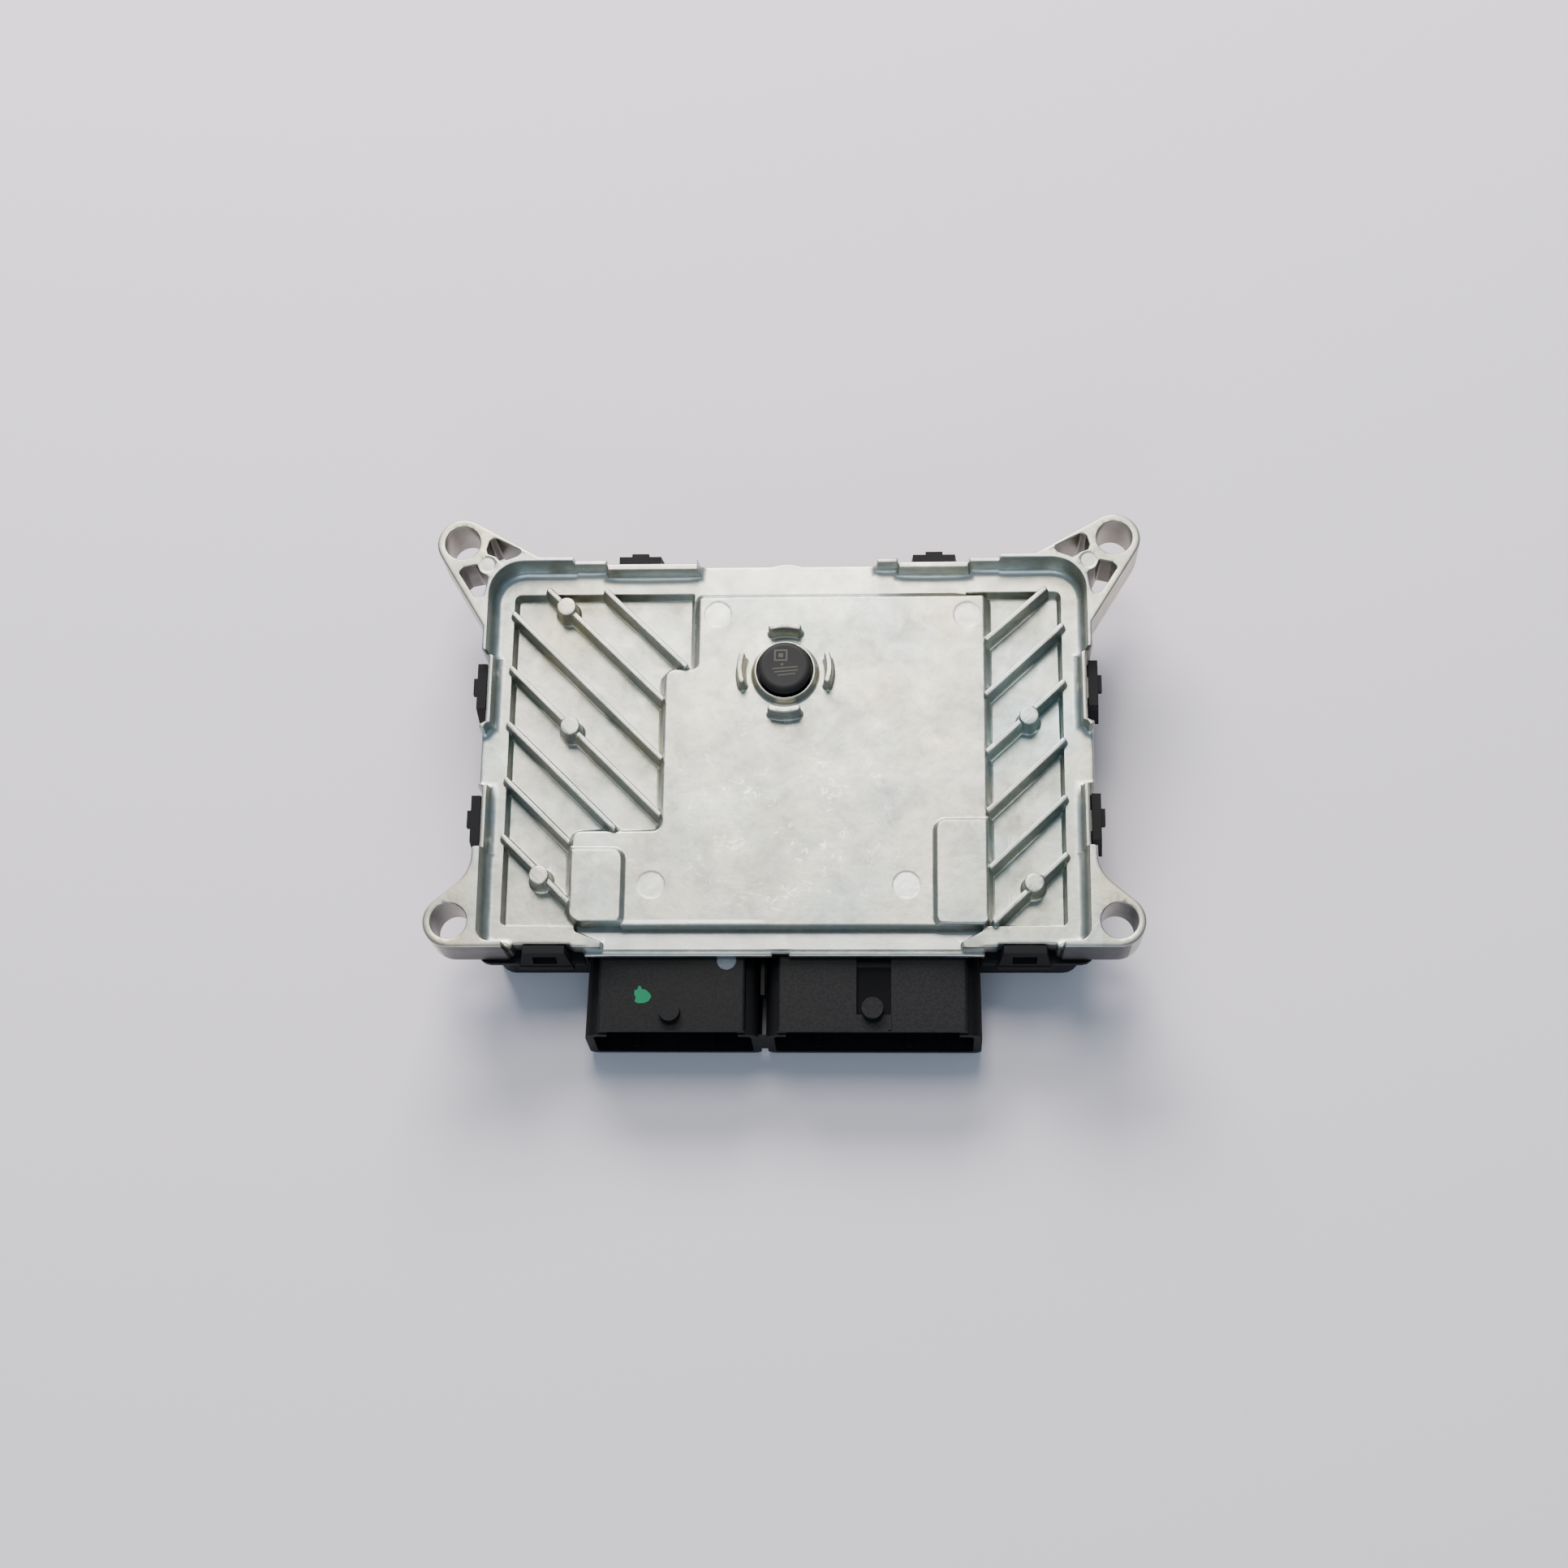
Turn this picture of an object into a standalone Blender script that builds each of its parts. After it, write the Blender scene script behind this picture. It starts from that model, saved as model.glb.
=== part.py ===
# Engine control unit: die-cast housing, moulded bottom cover, two-bay plug header
# and the parts inside.  Lengths below are in millimetres in the design frame:
# X along the header, Y towards the back, Z up, with Z = 0 on the parting plane
# between casting and cover.  The whole is carried by an empty that sets the
# design frame over the middle of the footprint, with the cover's floor at zero.

import bpy
import bmesh
import math
from mathutils import Vector, Matrix

MM = 0.001
GAP = 0.3                    # clearance between touching pieces

# ---- driving dimensions ------------------------------------------------------
FRAME_Y = 8.56               # design frame origin over the footprint's middle
DEPTH = 20.0                 # parting plane above the cover's floor

RIM_Z = 14.0                 # lip, arms and ears
LOWLIP_Z = 11.2              # lowered lip beside the snap loops
LEDGE_Z = 6.0                # ledge inside the lip
FIELD_Z = 2.7                # sunken rib fields
MIDDLE_Z = 7.4               # raised middle
PAD_Z = 8.7                  # raised pads and rib tops
POST_Z = 9.2
FRONT_Z = 3.3                # low front ledge over the header
ROOF = 1.9                   # wall thickness of the casting's roof

BODY_X = 77.4                # half width of the casting's body
BODY_Y0, BODY_Y1 = -55.5, 47.5
SNAP_X, SNAP_Y0, SNAP_Y1 = 76.0, -53.0, 46.5    # body wall behind the loops

BOLT_R = 4.5
REAR_BOSS = (83.6, 51.4, 6.6)
FRONT_EAR = (82.2, -49.0, 6.5)

VENT = (-0.2, 17.4)
CAP_R, CAP_Z = 6.7, 13.6
COLLAR_R, COLLAR_Z = 8.4, 10.3

BAYS = ((-49.3, -6.3), (-4.6, 48.7))            # header bays, left and right
FLARE = ((0.6, 0.0), (0.0, 0.45))               # how much each bay's sides open towards the mouth
HEAD_Y0, HEAD_TOP, HEAD_BOT = -75.1, 0.5, -19.5
RAIL_Z = -2.6
COLLAR_PLATE = (-53.0, -50.6)

BOARD_TOP, BOARD_T = -0.3, 1.6
BOARD_BOT = BOARD_TOP - BOARD_T

POSTS = ((-56.8, 35.6), (-54.7, 3.2), (-61.1, -36.0), (61.4, 5.4), (62.0, -38.1))
POST_R = 2.7
SCREW_R = 1.25

# ---- clean start ---------------------------------------------------------------
for old in list(bpy.data.objects):
    bpy.data.objects.remove(old, do_unlink=True)

scene = bpy.context.scene
parts = bpy.data.collections.new("engine_control_unit")
tools = bpy.data.collections.new("cutters")
scene.collection.children.link(parts)
scene.collection.children.link(tools)

frame = bpy.data.objects.new("design_frame", None)
frame.location = (0.0, FRAME_Y * MM, DEPTH * MM)
parts.objects.link(frame)


# ---- materials -------------------------------------------------------------------
def material(name, colour, rough, metal=0.0):
    m = bpy.data.materials.new(name)
    m.use_nodes = True
    b = m.node_tree.nodes["Principled BSDF"]
    b.inputs["Base Color"].default_value = (*colour, 1.0)
    b.inputs["Roughness"].default_value = rough
    b.inputs["Metallic"].default_value = metal
    m.diffuse_color = (*colour, 1.0)
    return m


CAST = material("cast_aluminium", (0.66, 0.66, 0.63), 0.45, 0.9)
COVER = material("cover_plastic", (0.030, 0.030, 0.032), 0.55)
HEADER = material("header_plastic", (0.036, 0.036, 0.038), 0.5)
CAPM = material("vent_plastic", (0.05, 0.05, 0.05), 0.4)
PIN = material("tinned_pin", (0.70, 0.68, 0.62), 0.3, 1.0)
BOARD = material("board_laminate", (0.02, 0.16, 0.07), 0.4)
CHIP = material("chip_epoxy", (0.02, 0.02, 0.022), 0.6)
CAN = material("can_aluminium", (0.62, 0.63, 0.65), 0.3, 1.0)
SEAL = material("seal_silicone", (0.10, 0.10, 0.12), 0.6)
PAD = material("gap_filler", (0.38, 0.42, 0.46), 0.8)
STEEL = material("zinc_steel", (0.60, 0.60, 0.58), 0.3, 1.0)
SKIN = material("membrane", (0.80, 0.80, 0.78), 0.7)
FERRITE = material("ferrite", (0.09, 0.085, 0.08), 0.5)


# ---- small tools -------------------------------------------------------------------
def place(name, mesh, mat=None, tool=False):
    ob = bpy.data.objects.new(name, mesh)
    (tools if tool else parts).objects.link(ob)
    ob.parent = frame
    if mat is not None:
        mesh.materials.append(mat)
    if tool:
        ob.hide_render = True
        ob.display_type = "WIRE"
    return ob


def prism(name, outline, z0, z1, mat=None, holes=(), tool=False):
    """A flat outline, filled and raised from z0 to z1."""
    cu = bpy.data.curves.new(name, "CURVE")
    cu.dimensions = "2D"
    cu.fill_mode = "BOTH"
    cu.extrude = (z1 - z0) * 0.5 * MM
    for loop in (outline, *holes):
        sp = cu.splines.new("POLY")
        sp.points.add(len(loop) - 1)
        for p, (x, y) in zip(sp.points, loop):
            p.co = (x * MM, y * MM, 0.0, 1.0)
        sp.use_cyclic_u = True
    tmp = bpy.data.objects.new(name + "_curve", cu)
    scene.collection.objects.link(tmp)
    bpy.context.view_layer.update()
    mesh = bpy.data.meshes.new_from_object(
        tmp.evaluated_get(bpy.context.evaluated_depsgraph_get()))
    bpy.data.objects.remove(tmp, do_unlink=True)
    bpy.data.curves.remove(cu)
    mesh.materials.clear()
    bm = bmesh.new()
    bm.from_mesh(mesh)
    bmesh.ops.remove_doubles(bm, verts=bm.verts, dist=1e-6)
    bmesh.ops.translate(bm, verts=bm.verts, vec=(0, 0, (z0 + z1) * 0.5 * MM))
    bmesh.ops.recalc_face_normals(bm, faces=bm.faces)
    bm.to_mesh(mesh)
    bm.free()
    return place(name, mesh, mat, tool)


def block(name, x0, x1, y0, y1, z0, z1, mat=None, tool=False):
    bm = bmesh.new()
    bmesh.ops.create_cube(bm, size=1.0)
    bmesh.ops.scale(bm, verts=bm.verts,
                    vec=((x1 - x0) * MM, (y1 - y0) * MM, (z1 - z0) * MM))
    bmesh.ops.translate(bm, verts=bm.verts,
                        vec=((x0 + x1) * 0.5 * MM, (y0 + y1) * 0.5 * MM, (z0 + z1) * 0.5 * MM))
    mesh = bpy.data.meshes.new(name)
    bm.to_mesh(mesh)
    bm.free()
    return place(name, mesh, mat, tool)


def drum(name, x, y, z0, z1, r, n=24, mat=None, tool=False, r2=None):
    bm = bmesh.new()
    bmesh.ops.create_cone(bm, cap_ends=True, segments=n, radius1=r * MM,
                          radius2=(r if r2 is None else r2) * MM, depth=(z1 - z0) * MM)
    bmesh.ops.translate(bm, verts=bm.verts, vec=(x * MM, y * MM, (z0 + z1) * 0.5 * MM))
    mesh = bpy.data.meshes.new(name)
    bm.to_mesh(mesh)
    bm.free()
    return place(name, mesh, mat, tool)


def turned(name, profile, x, y, n=32, mat=None, tool=False):
    """A closed (r, z) profile turned about the vertical axis at x, y."""
    bm = bmesh.new()
    vs = [bm.verts.new((r * MM, 0.0, z * MM)) for r, z in profile]
    es = [bm.edges.new((vs[i], vs[(i + 1) % len(vs)])) for i in range(len(vs))]
    bmesh.ops.spin(bm, geom=vs + es, cent=(0, 0, 0), axis=(0, 0, 1),
                   angle=math.tau, steps=n, use_duplicate=False)
    bmesh.ops.remove_doubles(bm, verts=bm.verts, dist=1e-6)
    bmesh.ops.dissolve_degenerate(bm, dist=1e-7, edges=bm.edges)
    loose = [v for v in bm.verts if not v.link_faces]
    bmesh.ops.delete(bm, geom=loose, context="VERTS")
    wires = [e for e in bm.edges if not e.link_faces]
    bmesh.ops.delete(bm, geom=wires, context="EDGES")
    bmesh.ops.recalc_face_normals(bm, faces=bm.faces)
    bmesh.ops.translate(bm, verts=bm.verts, vec=(x * MM, y * MM, 0))
    mesh = bpy.data.meshes.new(name)
    bm.to_mesh(mesh)
    bm.free()
    return place(name, mesh, mat, tool)


def join(target, tool, kind):
    m = target.modifiers.new(kind.lower() + "_" + tool.name, "BOOLEAN")
    m.operation = kind
    m.object = tool
    m.solver = "EXACT"
    return target


def cut(target, tool):
    return join(target, tool, "DIFFERENCE")


def add(target, tool):
    return join(target, tool, "UNION")


def arc(cx, cy, r, a0, a1, n):
    return [(cx + r * math.cos(math.radians(a0 + (a1 - a0) * i / n)),
             cy + r * math.sin(math.radians(a0 + (a1 - a0) * i / n))) for i in range(n + 1)]


def ring(cx, cy, r, n):
    return [(cx + r * math.cos(math.tau * (i + 0.5) / n),
             cy + r * math.sin(math.tau * (i + 0.5) / n)) for i in range(n)]


def rounded(x0, x1, y0, y1, r, n=4):
    return (arc(x1 - r, y0 + r, r, -90, 0, n) + arc(x1 - r, y1 - r, r, 0, 90, n)
            + arc(x0 + r, y1 - r, r, 90, 180, n) + arc(x0 + r, y0 + r, r, 180, 270, n))


def tangent(px, py, cx, cy, r, side):
    """Point where the line from (px, py) touches a circle, on the given side."""
    dx, dy = cx - px, cy - py
    d = math.hypot(dx, dy)
    a = math.atan2(dy, dx)
    b = math.acos(r / d)
    t = a + math.pi + side * b
    return cx + r * math.cos(t), cy + r * math.sin(t), math.degrees(t)


def soften(points, radii, n=3):
    """Round the corners of a polygon: one radius for each corner, 0 to keep it."""
    out = []
    k = len(points)
    for i, (p, r) in enumerate(zip(points, radii)):
        if r <= 0:
            out.append(p)
            continue
        a = Vector(points[i - 1]) - Vector(p)
        b = Vector(points[(i + 1) % k]) - Vector(p)
        a.normalize()
        b.normalize()
        half = math.acos(max(-1.0, min(1.0, a.dot(b)))) * 0.5
        d = r / math.tan(half)
        c = Vector(p) + (a + b).normalized() * (r / math.sin(half))
        s = Vector(p) + a * d - c
        e = Vector(p) + b * d - c
        a0 = math.atan2(s.y, s.x)
        a1 = math.atan2(e.y, e.x)
        while a1 - a0 > math.pi:
            a1 -= math.tau
        while a1 - a0 < -math.pi:
            a1 += math.tau
        for j in range(n + 1):
            t = a0 + (a1 - a0) * j / n
            out.append((c.x + r * math.cos(t), c.y + r * math.sin(t)))
    return out


def mirrored(points):
    return [(-x, y) for x, y in reversed(points)]


# ---- housing: outline ----------------------------------------------------------------
def right_side():
    """Right half of the casting's outline, from the front, anticlockwise."""
    ex, ey, er = FRONT_EAR
    bx, by, br = REAR_BOSS
    pts = [(49.7, BODY_Y0 + 0.4), (49.9, -53.65), (52.6, -53.6), (53.2, SNAP_Y0), (67.2, SNAP_Y0),
           (67.6, -54.4), (68.9, BODY_Y0)]
    pts += arc(ex, ey, er, -90, 50, 9)
    # straight flank, then a hollow curve into the body's side
    r = 10.0
    px = BODY_X + r * (1 - math.cos(math.radians(50)))
    tx, ty = ex + er * math.cos(math.radians(50)), ey + er * math.sin(math.radians(50))
    py = ty + (tx - px) * math.cos(math.radians(50)) / math.sin(math.radians(50))
    cx, cy = px + r * math.cos(math.radians(50)), py + r * math.sin(math.radians(50))
    pts += arc(cx, cy, r, 230, 180, 6)
    pts += [(BODY_X, -30.0), (SNAP_X, -29.3), (SNAP_X, -13.4), (BODY_X + 0.2, -12.6),
            (BODY_X + 0.2, 3.2), (SNAP_X, 4.0), (SNAP_X, 21.5), (BODY_X, 22.3)]
    foot = (BODY_X, 28.6)
    tx, ty, a0 = tangent(*foot, bx, by, br, 1)
    head = (63.6, BODY_Y1)
    ux, uy, a1 = tangent(*head, bx, by, br, -1)
    a0, a1 = a0 % 360, a1 % 360
    if a0 > 180:
        a0 -= 360
    pts += [foot] + arc(bx, by, br, a0, a1, 12) + [head]
    return pts


right = right_side()
left = mirrored(right)
rear_right = [(46.8, BODY_Y1), (46.8, SNAP_Y1), (28.5, SNAP_Y1), (28.5, BODY_Y1)]
bump = [(4.0, BODY_Y1)] + arc(0.0, BODY_Y1 - 9.5, 10.3, 68, 112, 4)[0:5] + [(-4.0, BODY_Y1)]
rear_left = [(-23.3, BODY_Y1), (-23.3, SNAP_Y1), (-46.5, SNAP_Y1), (-46.5, BODY_Y1)]
outline = right + rear_right + bump + rear_left + left

ARM_UPPER = [(77.25, 49.6), (76.6, 52.0), (75.2, 52.75), (68.1, 49.0), (69.4, 47.7), (73.4, 46.1),
             (74.9, 47.6), (76.9, 48.3)]
ARM_LOWER = [(84.3, 43.4), (82.9, 44.75), (79.75, 45.5), (78.8, 43.2), (76.6, 42.1), (77.2, 38.6),
             (77.9, 36.4), (79.9, 36.5)]
upper_hole = soften(ARM_UPPER, (1.0, 0.8, 0.9, 0.7, 0.0, 0.7, 1.6, 0.0), 2)
lower_hole = soften(ARM_LOWER, (1.0, 0.9, 0.7, 1.6, 0.7, 0.0, 0.8, 0.9), 2)

bolt_holes = [ring(s * REAR_BOSS[0], REAR_BOSS[1], BOLT_R, 24) for s in (1, -1)]
bolt_holes += [ring(s * FRONT_EAR[0], FRONT_EAR[1], BOLT_R, 24) for s in (1, -1)]
arm_holes = [upper_hole, lower_hole, mirrored(upper_hole), mirrored(lower_hole)]

housing = prism("housing", outline, 0.0, RIM_Z, CAST, holes=bolt_holes + arm_holes)

# ---- housing: snap wedges on the outside ---------------------------------------------------
def shaped(name, px, py, nx, ny, corner):
    """A cube whose corners are moved to corner(u, v, w), given as (out of the wall, along it, up)."""
    bm = bmesh.new()
    bmesh.ops.create_cube(bm, size=2.0)
    for vert in bm.verts:
        d, t, z = corner(*(1 if c > 0 else -1 for c in vert.co))
        vert.co = ((px + nx * d - ny * t) * MM, (py + ny * d + nx * t) * MM, z * MM)
    bmesh.ops.recalc_face_normals(bm, faces=bm.faces)
    mesh = bpy.data.meshes.new(name)
    bm.to_mesh(mesh)
    bm.free()
    return place(name, mesh, None, True)


def wedge(name, px, py, nx, ny, half_w, reach, z_low, z_high):
    """A cast nose on the wall: flat on top, sloped towards the cover."""
    return shaped(name, px, py, nx, ny, lambda u, v, w: (
        reach if u > 0 else -0.7, half_w * v,
        z_high if w > 0 else (z_high - 1.2 if u > 0 else z_low)))


# loops: centre, outward direction, standing on which wall
SIDE_LOOPS = ((13.8, 1), (-21.4, 1), (13.8, -1), (-21.4, -1))
REAR_LOOPS = (-38.0, 37.8)
FRONT_LOOPS = (-59.6, 59.6)
W_LOW, W_HIGH = 1.9, 6.1
for i, (y, s) in enumerate(SIDE_LOOPS):
    add(housing, wedge("add_wedge_side_%d" % (i + 1), s * SNAP_X, y, s, 0, 2.7, 2.0, W_LOW, W_HIGH))
for i, x in enumerate(REAR_LOOPS):
    add(housing, wedge("add_wedge_rear_%d" % (i + 1), x, SNAP_Y1, 0, 1, 2.7, 1.8, W_LOW, W_HIGH))
for i, x in enumerate(FRONT_LOOPS):
    add(housing, wedge("add_wedge_front_%d" % (i + 1), x, SNAP_Y0, 0, -1, 2.5, 2.2, 0.5, 3.9))

# ---- housing: ledge inside the lip, open where there is no lip ------------------------
half = [(68.9, -60.0), (68.9, -53.9), (72.2, -53.9)]
half += arc(72.2, -50.6, 3.0, -90, 0, 4)
half += [(75.2, -29.6), (74.8, -29.2), (74.8, -12.9), (82.0, -12.9), (82.0, 3.5),
         (74.8, 3.5), (74.8, 21.6), (76.1, 22.2)]
half += arc(67.6, 37.7, 8.5, 0, 90, 8)
inner = half + [(46.5, 46.23), (46.5, 44.9), (28.8, 44.9), (28.8, 46.23), (23.3, 46.25),
                (23.3, 52.0), (-23.0, 52.0), (-23.0, 44.75), (-46.2, 44.75), (-46.2, 46.15)]
inner += [(x, y - 0.06) for x, y in mirrored(half)]
cut(housing, prism("cut_ledge", inner, LEDGE_Z, RIM_Z + 2, tool=True))

cut(housing, block("cut_lip_rear_left", -54.7, -20, 43.5, 49.5, LOWLIP_Z, 17, tool=True))
cut(housing, block("cut_lip_rear_right", 20, 54.4, 43.5, 49.5, LOWLIP_Z, 17, tool=True))
cut(housing, block("cut_lip_left", -79, -73.5, -29.4, 21.9, LOWLIP_Z, 17, tool=True))
cut(housing, block("cut_lip_right", 73.5, 79, -29.35, 21.95, LOWLIP_Z, 17, tool=True))

# ---- housing: sunken rib fields and the low front ledge -------------------------------
cut(housing, prism("cut_field_left", rounded(-70.2, -26.0, -47.7, 39.6, 1.2, 3),
                   FIELD_Z, LEDGE_Z + 3, tool=True))
cut(housing, prism("cut_field_right", rounded(46.0, 69.6, -47.9, 39.5, 1.2, 3),
                   FIELD_Z, LEDGE_Z + 3, tool=True))
cut(housing, prism("cut_front", [(-45.5, -60), (44.4, -60), (44.4, -52.2), (50.4, -49.3), (50.4, -47.2),
                                 (-53.4, -47.2), (-53.4, -49.3), (-45.5, -52.2)],
                   FRONT_Z, LEDGE_Z + 3, tool=True))
cut(housing, block("cut_front_step", -49.95, 49.95, -60.1, -53.8, 2.3, LEDGE_Z + 1, tool=True))
cut(housing, block("cut_front_notch", -2.9, 1.2, -60.2, -54.1, 1.5, LEDGE_Z + 0.9, tool=True))

# ---- housing: raised middle, pads, ribs, posts ----------------------------------------
MIDDLE = [(51.3, -48.5), (51.3, 39.05), (-23.0, 39.05), (-23.1, 19.2), (-31.1, 19.2),
          (-31.1, -23.6), (-53.9, -23.6), (-53.9, -47.7), (-40.6, -47.7), (-40.6, -48.5)]
add(housing, prism("add_middle", soften(MIDDLE, (1, 1, 1, 1.6, 1.6, 1.6, 1.6, 2.5, 0, 0)),
                   1.6, MIDDLE_Z, tool=True))
add(housing, prism("add_pad_left",
                   soften([(-53.7, -47.9), (-40.4, -47.9), (-40.4, -29.2), (-53.7, -29.2)],
                          (2.5, 0, 1.8, 0.6)), 1.7, PAD_Z, tool=True))
add(housing, prism("add_pad_right",
                   soften([(37.9, -48.2), (51.1, -48.2), (51.1, -21.8), (37.9, -21.8)],
                          (0, 0.6, 0.6, 1.8)), 1.7, PAD_Z, tool=True))

RIBS = [((-47.0, 40.3), (-25.2, 19.0)), ((-61.9, 40.7), (-30.9, 9.9)),
        ((-70.6, 34.2), (-30.9, -5.6)), ((-70.6, 19.2), (-30.9, -20.6)),
        ((-70.7, 4.3), (-42.3, -24.1)), ((-70.7, -10.6), (-53.6, -27.8)),
        ((-70.8, -25.5), (-53.4, -42.9)),
        ((66.6, 40.3), (50.6, 25.6)), ((70.4, 30.0), (50.4, 11.0)),
        ((70.5, 14.8), (50.5, -4.3)), ((70.3, -0.7), (50.5, -19.8)),
        ((70.3, -15.8), (50.9, -34.4)), ((70.3, -30.6), (51.9, -48.2))]
RIB_W = 2.0
for i, (a, b) in enumerate(RIBS):
    d = (Vector(b) - Vector(a)).normalized()
    s = Vector((-d.y, d.x)) * RIB_W * 0.5
    quad = [Vector(a) - s, Vector(b) - s, Vector(b) + s, Vector(a) + s]
    add(housing, prism("add_rib_%02d" % (i + 1), [(v.x, v.y) for v in quad],
                       1.8, PAD_Z - 0.05, tool=True))
for i, (x, y) in enumerate(POSTS):
    add(housing, drum("add_post_%d" % (i + 1), x, y, 1.5, POST_Z, POST_R, 20, tool=True))

# ---- housing: vent collar and its four guards ------------------------------------------
vx, vy = VENT
add(housing, drum("add_collar", vx, vy, 5.0, COLLAR_Z, COLLAR_R, 36, tool=True))
for i in range(4):
    a = 90 * i
    seg = arc(vx, vy, 12.3, a - 21, a + 21, 6) + arc(vx, vy, 10.4, a + 21, a - 21, 6)
    add(housing, prism("add_guard_%d" % (i + 1), seg, 6.0, 12.7, tool=True))

# ---- housing: hollow underside -----------------------------------------------------------
cut(housing, prism("cut_under", rounded(-73.0, 73.0, -46.9, 43.6, 5.0, 5), -2, FIELD_Z - ROOF,
                   tool=True))
UNDER = [(49.3, -46.4), (49.3, 37.0), (-21.0, 37.0), (-21.0, 17.0), (-29.1, 17.0),
         (-29.1, -25.6), (-51.9, -25.6), (-51.9, -46.0)]
cut(housing, prism("cut_under_middle", soften(UNDER, (1,) * 8, 2), -2.1, MIDDLE_Z - ROOF - 0.1,
                   tool=True))
cut(housing, prism("cut_under_pad_left", rounded(-51.7, -42.4, -45.7, -31.2, 1.0, 2),
                   -2.2, PAD_Z - ROOF - 0.1, tool=True))
cut(housing, prism("cut_under_pad_right", rounded(39.9, 49.1, -46.1, -23.8, 1.0, 2),
                   -2.2, PAD_Z - ROOF - 0.1, tool=True))
PEDESTALS = ((-20.0, -2.0, -12.0, 4.0), (8.0, 26.0, -30.0, -14.0), (24.0, 40.0, 12.0, 28.0))
for i, (x0, x1, y0, y1) in enumerate(PEDESTALS):
    add(housing, block("add_pedestal_%d" % (i + 1), x0, x1, y0, y1, 2.9, 6.2, tool=True))
for i, (x, y) in enumerate(POSTS):
    add(housing, drum("add_standoff_%d" % (i + 1), x, y, 0.0, 1.9, 3.6, 20, tool=True))
    cut(housing, drum("cut_screw_%d" % (i + 1), x, y, -1.0, 6.4, SCREW_R + GAP, 12, tool=True))
cut(housing, drum("cut_vent", vx, vy, 3.0, 20, 4.3, 32, tool=True))
cut(housing, drum("cut_vent_seat", vx, vy, 9.0, 20, 7.15, 32, tool=True))
cut(housing, block("cut_header", -49.3, 49.1, -60, -46.2, -3, HEAD_TOP + GAP, tool=True))

# groove for the seal, open towards the header
SEAL_W = 1.4


def seal_path(w, y_end):
    o = w * 0.5
    outer = [(74.4 + o, y_end)] + arc(66.4, 37.0, 8.0 + o, 0, 90, 6)
    inside = [(74.4 - o, y_end)] + arc(66.4, 37.0, 8.0 - o, 0, 90, 6)
    return (outer + mirrored(outer) + list(reversed(inside + mirrored(inside))))


cut(housing, prism("cut_groove", seal_path(SEAL_W, -50.6), -1.0, 1.0, tool=True))


# ---- bottom cover --------------------------------------------------------------------------
FLANGE_T = 2.0
FL0, FL1 = -GAP - FLANGE_T, -GAP
cover = prism("bottom_cover", rounded(-77.2, 77.2, -56.4, 47.3, 3.5, 4), FL0, FL1, COVER)
add(cover, prism("add_tray", rounded(-74.6, 74.6, -54.2, 45.6, 4.5, 5), -DEPTH, FL0 + 0.8, tool=True))
cut(cover, prism("cut_tray", rounded(-72.7, 72.7, -46.6, 43.7, 4.0, 4), -DEPTH + 1.9, 2, tool=True))


def oriented_block(name, px, py, nx, ny, t0, t1, half_w, z0, z1):
    xs = sorted((px + nx * t0 - ny * -half_w, px + nx * t1 - ny * half_w)) if nx == 0 else \
        sorted((px + nx * t0, px + nx * t1))
    ys = sorted((py + ny * t0, py + ny * t1)) if nx == 0 else (py - half_w, py + half_w)
    if nx == 0:
        xs = (px - half_w, px + half_w)
    return block(name, xs[0], xs[1], ys[0], ys[1], z0, z1, tool=True)


LOOP_Z, LOOP_Z_FRONT = 9.6, 6.2
WIN0, WIN1 = 1.4, 6.4
WIN0_FRONT, WIN1_FRONT = 0.8, 4.2
# tag, wall point, outward direction, half widths (top, foot), inner face (top, foot), thickness
loops = [("side_%d" % (i + 1), s * SNAP_X, y, s, 0, 6.0, 7.0, 0.4, 1.2, 2.4)
         for i, (y, s) in enumerate(SIDE_LOOPS)]
loops += [("rear_%d" % (i + 1), x, SNAP_Y1, 0, 1, 5.4, 6.4, 0.4, 1.1, 2.1)
          for i, x in enumerate(REAR_LOOPS)]
loops += [("front_%d" % (i + 1), x, SNAP_Y0, 0, -1, 5.2, 6.9, 0.35, 2.6, 2.0)
          for i, x in enumerate(FRONT_LOOPS)]
for tag, px, py, nx, ny, wt, wb, t_top, t_foot, thick in loops:
    front = tag.startswith("front")
    top = LOOP_Z_FRONT if front else LOOP_Z
    w0, w1 = (WIN0_FRONT, WIN1_FRONT) if front else (WIN0, WIN1)
    add(cover, shaped("add_loop_" + tag, px, py, nx, ny, lambda u, v, w: (
        (t_top if w > 0 else t_foot) + (thick if u > 0 else 0.0),
        (wt if w > 0 else wb) * v, top if w > 0 else FL0)))
    # foot that ties the plate to the flange, and a thickened middle of the cross bar
    add(cover, oriented_block("add_foot_" + tag, px, py, nx, ny, -0.5, t_foot + thick - 0.3,
                              wb - 0.2, FL0 + 0.1, FL1 - 0.1))
    if not front:
        add(cover, oriented_block("add_boss_" + tag, px, py, nx, ny, t_top + thick - 0.5,
                                  t_top + thick + 1.0, 2.2, WIN1 + 0.9, top - 0.5))
    cut(cover, oriented_block("cut_window_" + tag, px, py, nx, ny, -0.6, t_foot + thick + 1.0,
                              3.0 if front else 3.1, w0, w1))

# notch for the header, and shallow panels in the floor
cut(cover, block("cut_header_notch", -49.85, 49.15, -60, COLLAR_PLATE[1] + GAP, -25, 3, tool=True))
cut(cover, block("cut_header_room", -49.3, 49.1, -52, -44, -DEPTH + 1.85, 3, tool=True))
for i, (x0, x1, y0, y1) in enumerate(((-66, -24, -40, 36), (-18, 18, -40, 36), (24, 66, -40, 36))):
    cut(cover, prism("cut_panel_%d" % (i + 1), rounded(x0, x1, y0, y1, 4.0, 3), -DEPTH - 1,
                     -DEPTH + 0.6, tool=True))

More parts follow.
